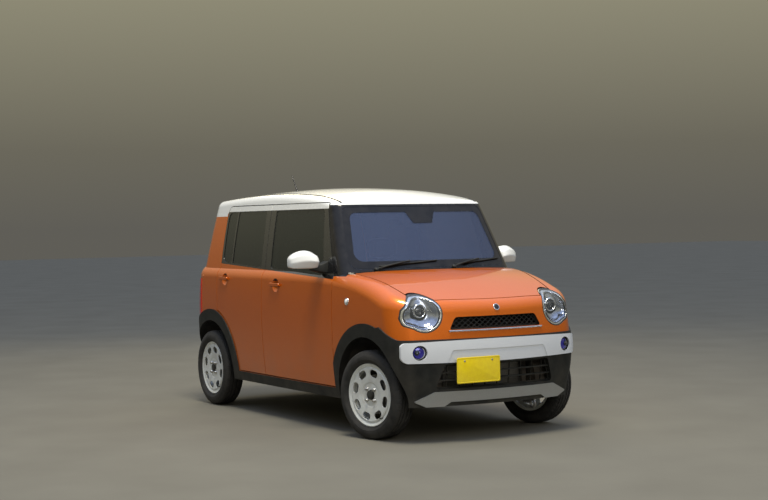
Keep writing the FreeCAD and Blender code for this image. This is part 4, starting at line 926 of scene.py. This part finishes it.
def add_rear_trim():
    body = "tailgate"
    tree = skin("tailgate", "tailgate_top", "tailgate_glass")
    spot = spot_on(tree, behind(0, 0.985), FORWARD)
    panel("tailgate_handle", spot, (420, 52, 18), 20, "orange", 8, body)
    grip = facing(*spot) @ moved((0, -0.0265, 0.004))
    slab("tailgate_grip", rounded(150, 12, 4), 12, "black", grip, 2, body)
    pivot, out = spot_on(tree, behind(0, 1.125), FORWARD)
    turned("rear_wiper_pivot", [(0, 24), (18, 22), (24, 16), (25, 0)], pivot, out, "black", 32, body=body)
    line = [on_skin(tree, behind(-0.3 * i / 8, 1.19 + 0.01 * i / 8), 0.012, FORWARD) for i in range(9)]
    arm = [pivot + out * 0.02, pivot.lerp(line[4], 0.6) + out * 0.012, line[4]]
    wire("rear_wiper_arm", arm, 6, "black", body)
    wire("rear_wiper_blade", line, 5, "black", body)
    panel("high_stop_lamp", spot_on(tree, behind(0, 1.492), FORWARD), (240, 22, 10), 5, "red", 2, body)
    bumper = skin("rear_bumper")
    for side, sign in SIDES:
        spot = spot_on(bumper, behind(sign * 0.5, 0.43), FORWARD)
        panel("rear_reflector_" + side, spot, (110, 26, 10), 4, "red", 1.5)


# Seats: each pad is blown up as cloth, then its seams are drawn in

PAD_VOXEL, PAD_CAP, PAD_MARGIN = 0.013, 0.012, 0.012
PAD_FRAMES = 16
SEAM_DEPTH = 0.0075


def bent(value, power=0.42):
    """Pushes a unit value outwards, so that a ball becomes a rounded box."""
    return copysign(abs(value) ** power, value)


def pad_shell(width, length, height, bolster):
    """A closed pad about its middle: a rounded box whose top rises towards both sides."""
    rings = []
    for i in range(1, 24):
        tilt = pi * i / 24
        ring = []
        for j in range(48):
            turn = 2 * pi * j / 48
            u, v = bent(sin(tilt) * cos(turn)), bent(sin(tilt) * sin(turn))
            w = bent(cos(tilt))
            rise = bolster * max(0.0, w) * max(0.0, (abs(u) - 0.45) / 0.55) ** 0.7
            ring.append((u * width / 2, v * length / 2, w * height / 2 + rise))
        rings.append(ring)
    return lofted(rings)


def blown(made):
    """Runs the cloth for a few frames, keeps each point near its start, and bakes the result."""
    start = [v.co.copy() for v in made.data.vertices]
    cloth = made.modifiers.new("cloth", "CLOTH")
    cloth.settings.use_pressure = True
    cloth.settings.uniform_pressure_force = 4.0
    cloth.settings.effector_weights.gravity = 0.0
    scene = bpy.context.scene
    for frame_number in range(1, PAD_FRAMES + 1):
        scene.frame_set(frame_number)
    swollen = made.evaluated_get(bpy.context.evaluated_depsgraph_get()).data
    moved = [v.co - a for v, a in zip(swollen.vertices, start)]
    made.modifiers.remove(cloth)
    scene.frame_set(1)
    for vertex, a, step in zip(made.data.vertices, start, moved):
        vertex.co = a + step * min(1.0, PAD_CAP / max(step.length, 1e-6))


def remade(made, modifier, **settings):
    """Adds a modifier, bakes it into the mesh and takes it off again."""
    added = made.modifiers.new("shape", modifier)
    for key, value in settings.items():
        setattr(added, key, value)
    shaped = bpy.data.meshes.new_from_object(made.evaluated_get(bpy.context.evaluated_depsgraph_get()))
    made.modifiers.remove(added)
    made.data = shaped


def seam_depth(co, height, seams):
    """How deep the seams press a pad in at a point."""
    depth = 0.0
    for axis, place, low, high in seams:
        across = abs(co[axis] - place)
        if across < 0.03 and low <= co[1 - axis] <= high and co.z > -height * 0.3:
            depth = max(depth, SEAM_DEPTH * exp(-(across / SEAM_DEPTH) ** 2))
    return depth


def pad(name, size, bolster, seams):
    """A stuffed pad about its own middle; seams are (axis, place, first, last) lines on it."""
    mesh = bpy.data.meshes.new(name)
    points, faces = pad_shell(*(s - PAD_MARGIN for s in size), bolster)
    mesh.from_pydata(points, [], faces)
    made = shown(name, mesh)
    remade(made, "REMESH", mode="VOXEL", voxel_size=PAD_VOXEL, use_smooth_shade=True)
    blown(made)
    remade(made, "SUBSURF", levels=1)
    mesh = made.data
    pressed = [v.co - v.normal * seam_depth(v.co, size[2], seams) for v in mesh.vertices]
    for vertex, co in zip(mesh.vertices, pressed):
        vertex.co = co
    edge = abs(seams[0][1])
    for polygon in mesh.polygons:
        polygon.material_index = int(abs(polygon.center.x) < edge and polygon.center.z > 0)
    mesh.materials.clear()
    mesh.materials.append(MATERIALS["cloth"])
    mesh.materials.append(MATERIALS["cloth_centre"])
    mesh.shade_smooth()
    bpy.data.objects.remove(made)
    return mesh


def placed_pad(name, mesh, place):
    """One copy of a pad, put where its seat has it."""
    copy = mesh.copy()
    copy.transform(place)
    made = shown(name, copy)
    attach(made, "root")
    return made


SEAT_LEAN = tilted(-14, "Y")
UPRIGHT = Matrix(((0, 0, 1, 0), (1, 0, 0, 0), (0, 1, 0, 0), (0, 0, 0, 1)))
LYING = Matrix(((0, 1, 0, 0), (-1, 0, 0, 0), (0, 0, 1, 0), (0, 0, 0, 1)))
# Seat rows: front end's x, seat's y, cushion's depth, cushion's share of the pad, plinth's rear end
SEAT_ROWS = {"front": (0.33, 0.335, 0.5, 1.0, -0.11), "rear": (-0.56, 0.247, 0.46, 0.93, -0.838)}
RECLINER = [(-8, 34), (6, 34), (9, 30), (9, 0)]


def pad_seams(half, reach, lines, across):
    """Two seams along a pad and more across it."""
    return [(0, s * half, -reach, reach) for s in (-1, 1)] + [(1, y, -across, across) for y in lines]


def add_seats():
    """Two front seats and two rear ones, each in the space of its CAD solid."""
    squab = pad("squab", (0.48, 0.5, 0.12), 0.016, pad_seams(0.15, 0.21, (-0.1, 0.06), 0.15))
    back = pad("backrest", (0.464, 0.6, 0.104), 0.014, pad_seams(0.14, 0.28, (-0.1, 0.08), 0.14))
    head = pad("headrest", (0.25, 0.16, 0.086), 0.0, pad_seams(0.085, 0.08, (), 0.0))
    parts = (("_back", back, -0.03, 0.272, 0.8), ("_head", head, -0.035, 0.698, 0.85))
    for row, (x, y, depth, shrink, base_rear) in SEAT_ROWS.items():
        for side, sign in SIDES:
            name = "seat_%s_%s" % (row, side)
            at = moved((0, sign * y, 0))
            flat = moved((x - depth / 2, 0, 0.535)) @ LYING @ Matrix.Diagonal((1, shrink, 1, 1))
            cushion = placed_pad(name + "_squab", squab, at @ flat)
            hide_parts(row + "_seats")
            pivot = at @ moved((x - depth, 0, 0.54)) @ SEAT_LEAN
            for part, mesh, dx, dz, fill in parts:
                placed_pad(name + part, mesh, pivot @ moved((dx, 0, dz)) @ UPRIGHT)
            for k, across in enumerate((-0.045, 0.045)):
                post = [pivot @ Vector((-0.035, across, z)) for z in (0.55, 0.64)]
                wire("%s_post_%d" % (name, k), post, 6, "chrome", smooth=False)
            add_seat_base(name, row, x, sign * y, sign, depth, base_rear)


def add_seat_base(name, row, x, y, sign, depth, base_rear):
    """Plinth, slider rails, recliner covers and the belt buckle."""
    base_front = x - 0.06
    plinth = ((base_rear + base_front) / 2, y, 0.38)
    block(name + "_plinth", plinth, ((base_front - base_rear) * 1000, 340, 198), "interior", 20)
    if row == "front":
        for k, across in enumerate((-0.165, 0.165)):
            block("%s_rail_%d" % (name, k), (x - 0.24, y + across, 0.296), (400, 36, 30), "cast", 4)
    for k, across in enumerate((-0.226, 0.226)):
        at = (x - depth - 0.005, y + across * 1.02, 0.53)
        turned("%s_hinge_%d" % (name, k), RECLINER, at, (0, across, 0), "interior", 32)
    block(name + "_buckle", (x - 0.4, y - sign * 0.262, 0.585), (30, 16, 85), "interior", 6)


# The cabin

DRIVER_Y = -0.335


def add_gauge(tree):
    """One round speedometer with blank ticks and a needle."""
    at, out = spot_on(tree, (0, DRIVER_Y, 0.962), FORWARD)
    turned("gauge_pod", [(-20, 90), (36, 88), (41, 83), (36, 79), (10, 77)], at, out, "black", 64, False)
    turned("gauge_dial", [(0, 78), (12, 78), (12, 0)], at, out, "gloss", 64)
    face = at + out * 0.0125
    place = facing(face, out)
    for i in range(17):
        turn = tilted(225 - 270 * i / 16, "Z")
        tick = rounded(12 if i % 2 else 18, 2.2, 0.8)
        slab("gauge_tick_%d" % i, tick, 0.8, "lens_solid", place @ turn @ moved((0.064, 0, 0)))
    needle = place @ tilted(225, "Z") @ moved((0.026, 0, 0.003))
    slab("gauge_needle", rounded(62, 3, 1), 1, "needle", needle)
    turned("gauge_hub", [(0, 10), (6, 9), (7, 0)], face, out, "black", 24)


def add_vent(name, tree, y):
    at, out = spot_on(tree, (0, y, 0.955), FORWARD)
    ring = [(-10, 40), (8, 39), (10, 36), (6, 32), (-4, 31)]
    turned(name + "_ring", ring, at, out, "chrome_dull", 40, False)
    turned(name + "_back", [(0, 31), (1, 31), (1, 0)], at, out, "gloss", 32)
    place = facing(at + out * 0.001, out)
    for i, shift in enumerate((-15, 0, 15)):
        width = 2 * (30.5 ** 2 - shift ** 2) ** 0.5
        blade = place @ moved((0, shift / 1000, 0))
        slab("%s_blade_%d" % (name, i), rounded(width, 3, 1), 6, "black", blade)


# Plates on the dashboard: y, z, size with corner radius, thickness, material, edge
DASH_PANELS = {
    "screen_frame": (0, 0.95, (220, 118, 10), 6, "trim_grey", 3),
    "screen": (0, 0.95, (186, 102, 6), 7.5, "gloss", 1),
    "lever_gate": (0, 0.79, (70, 110, 12), 4, "gloss", 1),
    "glove_box": (0.33, 0.79, (400, 120, 14), 5, "trim_grey", 3),
    "knee_panel": (DRIVER_Y, 0.785, (360, 100, 14), 5, "trim_grey", 3),
    "passenger_panel": (0.365, 0.93, (290, 58, 14), 5, "trim_grey", 3),
    "glove_box_catch": (0.33, 0.825, (80, 18, 6), 12, "black", 3),
}
KNOB = [(0, 21), (4, 21), (6, 18), (20, 16.5), (22, 12), (22, 0)]
LEVER_KNOB = [(-28, 8), (-20, 15), (0, 19), (18, 17), (28, 9), (30, 0)]


def add_dashboard_fittings():
    tree = skin("dashboard")
    add_gauge(tree)
    for i, y in enumerate((-0.56, -0.17, 0.17, 0.56)):
        add_vent("vent_%d" % i, tree, y)
    for name, (y, z, size, thick, material, edge) in DASH_PANELS.items():
        panel(name, spot_on(tree, (0, y, z), FORWARD), size, thick, material, edge)
    middle, out = spot_on(tree, (0, 0, 0.866), FORWARD)
    for i, y in enumerate((-0.062, 0.0, 0.062)):
        at = middle + Vector((0, y, 0))
        turned("knob_%d" % i, KNOB, at, out, "black", 32)
        turned("knob_ring_%d" % i, [(0, 23.5), (3, 23), (3, 20.5)], at, out, "chrome_dull", 32, False)
    at, out = spot_on(tree, (0, 0, 0.79), FORWARD)
    tip = at + out * 0.11 + Vector((0, 0, 0.05))
    wire("lever", [at, at + out * 0.06 + Vector((0, 0, 0.012)), tip], 6.5, "chrome")
    turned("lever_knob", LEVER_KNOB, tip, (-0.75, 0, 0.66), "black", 32)
    tilt = tilted(-25, "Y")
    for name, y, wide in (("brake", -0.3, 75), ("throttle", -0.43, 50)):
        block(name + "_pedal", (0.655, y, 0.42), (14, wide, 70), "tyre", 4, turn=tilt)
        wire(name + "_arm", [(0.66, y, 0.42), (0.7, y, 0.54), (0.69, y, 0.69)], 7, "cast")


GRAB_HANDLE = ((-0.1, 0, 0.004), (-0.08, 0, -0.035), (0.08, 0, -0.035), (0.1, 0, 0.004))


def add_roof_fittings():
    roof = skin("roof")
    for side, sign in SIDES:
        spot = spot_on(roof, (0.44, sign * 0.3, 1.3), UP)
        panel("sun_visor_" + side, spot, (380, 160, 25), 18, "trim_grey", 6, up=FORWARD)
        hold, _ = spot_on(roof, (-0.05, sign * 0.52, 1.3), UP)
        wire("grab_handle_" + side, [hold + Vector(p) for p in GRAB_HANDLE], 8, "trim_grey")
    spot = spot_on(roof, (0.15, 0, 1.3), UP)
    panel("cabin_lamp_base", spot, (150, 90, 20), 12, "trim_grey", 4, up=FORWARD)
    panel("cabin_lamp", spot, (110, 50, 12), 17, "lens_solid", 3, up=FORWARD)


# Inner door fittings: armrest's x and length, handle's x, pocket's x and length, speaker's x
DOOR_FITTINGS = {
    "front": (0.18, 440, 0.42, 0.14, 420, 0.49),
    "rear": (-0.69, 300, -0.48, -0.66, 300, None),
}


def add_door_fittings():
    upright = tilted(90, "X")
    for row, (arm_x, arm_length, pull_x, pocket_x, pocket_length, speaker_x) in DOOR_FITTINGS.items():
        boxes = (("_armrest", arm_x, 0.7, (0, 0.018, 0), (arm_length, 50, 48), "interior", 14),
                 ("_switches", arm_x, 0.7, (arm_length * 0.00022, 0.02, 0.025), (120, 32, 6), "gloss", 2),
                 ("_pull_cup", pull_x, 0.88, (0, 0, 0), (130, 12, 52), "gloss", 4),
                 ("_pull", pull_x, 0.88, (-0.01, 0.012, 0), (90, 10, 20), "chrome", 3),
                 ("_pocket", pocket_x, 0.44, (0, 0.014, 0), (pocket_length, 36, 110), "interior", 10))
        for side, sign in SIDES:
            body = "door_%s_%s" % (row, side)
            tree = skin(body)
            for suffix, x, z, (ahead, inward, above), size, material, edge in boxes:
                at = inner_side(tree, sign, x, z) + Vector((ahead, -sign * inward, above))
                block(body + suffix, at, size, material, edge, body)
            at = inner_side(tree, sign, arm_x, 0.8) + Vector((0, 0.004, 0))
            insert = rounded(arm_length * 1.1, 130, 30)
            slab(body + "_insert", insert, 8, "trim_grey", moved(at) @ upright, 3, body)
            if speaker_x:
                add_speaker(body, inner_side(tree, sign, speaker_x, 0.47), (0, -sign, 0))


def inner_side(tree, sign, x, z):
    """The point of a door's inner side as seen from the seats."""
    return spot_on(tree, (x, sign * 0.3, z), (0, sign, 0))[0]


def add_speaker(body, at, out):
    turned(body + "_speaker", [(-4, 82), (6, 81), (9, 76), (6, 72)], at, out, "interior", 48, False, body)
    turned(body + "_mesh", [(0, 73), (5, 71), (10, 45), (12, 0)], at, out, "trim_grey", body=body)


# The engine bay

# Boxes: middle, size, material, edge
BAY_BOXES = {
    "engine_cover": ((1.18, 0, 0.786), (300, 470, 62), "black", 18),
    "radiator_rail": ((1.425, 0, 0.712), (62, 640, 28), "gloss", 6),
    "air_duct": ((1.385, 0.09, 0.755), (140, 150, 50), "interior", 14),
    "battery_tray": ((0.985, 0.44, 0.622), (190, 140, 70), "under", 6),
    "battery": ((0.985, 0.44, 0.742), (170, 120, 172), "interior", 6),
    "battery_lid": ((0.985, 0.44, 0.834), (174, 124, 22), "trim_grey", 4),
    "fuse_box": ((1.3, -0.44, 0.7), (150, 110, 120), "interior", 8),
    "fuse_lid": ((1.3, -0.44, 0.766), (156, 116, 22), "black", 6),
    "brake_reservoir": ((0.935, -0.37, 0.9), (100, 55, 50), "lens_solid", 8),
}
POST = [(0, 9), (16, 8), (16, 0)]
BOOSTER = [(0, 100), (30, 105), (45, 98), (60, 60), (70, 40), (70, 0)]
NECK = [(0, 18), (100, 18), (110, 24), (124, 24), (128, 18), (128, 0)]
STRUT_CAP = [(-10, 58), (10, 56), (14, 30), (24, 14), (26, 0)]
# Turned pieces: profile, place, way it points, material, steps
BAY_TURNED = {
    "oil_cap": ([(0, 30), (18, 30), (22, 26), (22, 0)], (1.3, -0.255, 0.757), UP, "gloss", 24),
    "radiator_cap": ([(0, 26), (10, 26), (14, 20), (16, 0)], (1.425, 0.23, 0.725), UP, "chrome_dull", 24),
    "battery_post_0": (POST, (0.925, 0.4, 0.843), UP, "cast", 20),
    "battery_post_1": (POST, (1.045, 0.4, 0.843), UP, "cast", 20),
    "brake_booster": (BOOSTER, (0.808, -0.37, 0.86), FORWARD, "gloss", 48),
    "brake_cylinder": ([(0, 20), (110, 18), (114, 0)], (0.874, -0.37, 0.86), FORWARD, "cast", 24),
    "brake_cap": ([(0, 22), (12, 22), (14, 0)], (0.935, -0.37, 0.924), UP, "black", 24),
    "washer_neck": (NECK, (1.33, 0.45, 0.63), UP, "trim_grey", 24),
    "strut_cap_left": (STRUT_CAP, (AXLE_FRONT, 0.505, 0.668), UP, "cast", 36),
    "strut_cap_right": (STRUT_CAP, (AXLE_FRONT, -0.505, 0.668), UP, "cast", 36),
}


def add_engine_bay():
    for name, row in BAY_BOXES.items():
        block(name, *row)
    for i in range(5):
        block("engine_rib_%d" % i, (1.18, -0.14 + 0.07 * i, 0.819), (220, 18, 8), "black", 3)
    for name, row in BAY_TURNED.items():
        turned(name, *row)


def add_bonnet_lining():
    steps = range(21)
    rows = [[Vector((1.03 + 0.38 * i / 20, -0.4 + 0.8 * j / 20, 0.8)) for j in steps] for i in steps]
    draped("bonnet_lining", skin("bonnet"), rows, 0.004, "interior", False, 0.006, UP, "bonnet")


bpy.context.scene.view_settings.view_transform = "Standard"
add_camera()
add_lamps()
add_world()
add_floor()
dress_nodes()
add_tyres()
add_wheel_details()
add_windscreen_trim()
add_wipers()
add_roof_mouldings()
add_headlamps()
add_fog_lamps()
add_nose_trim()
add_side_lamps()
add_front_plate()
add_mirrors()
add_tail_lamps()
add_rear_trim()
add_dashboard_fittings()
add_roof_fittings()
add_door_fittings()
add_engine_bay()
add_bonnet_lining()
add_seats()
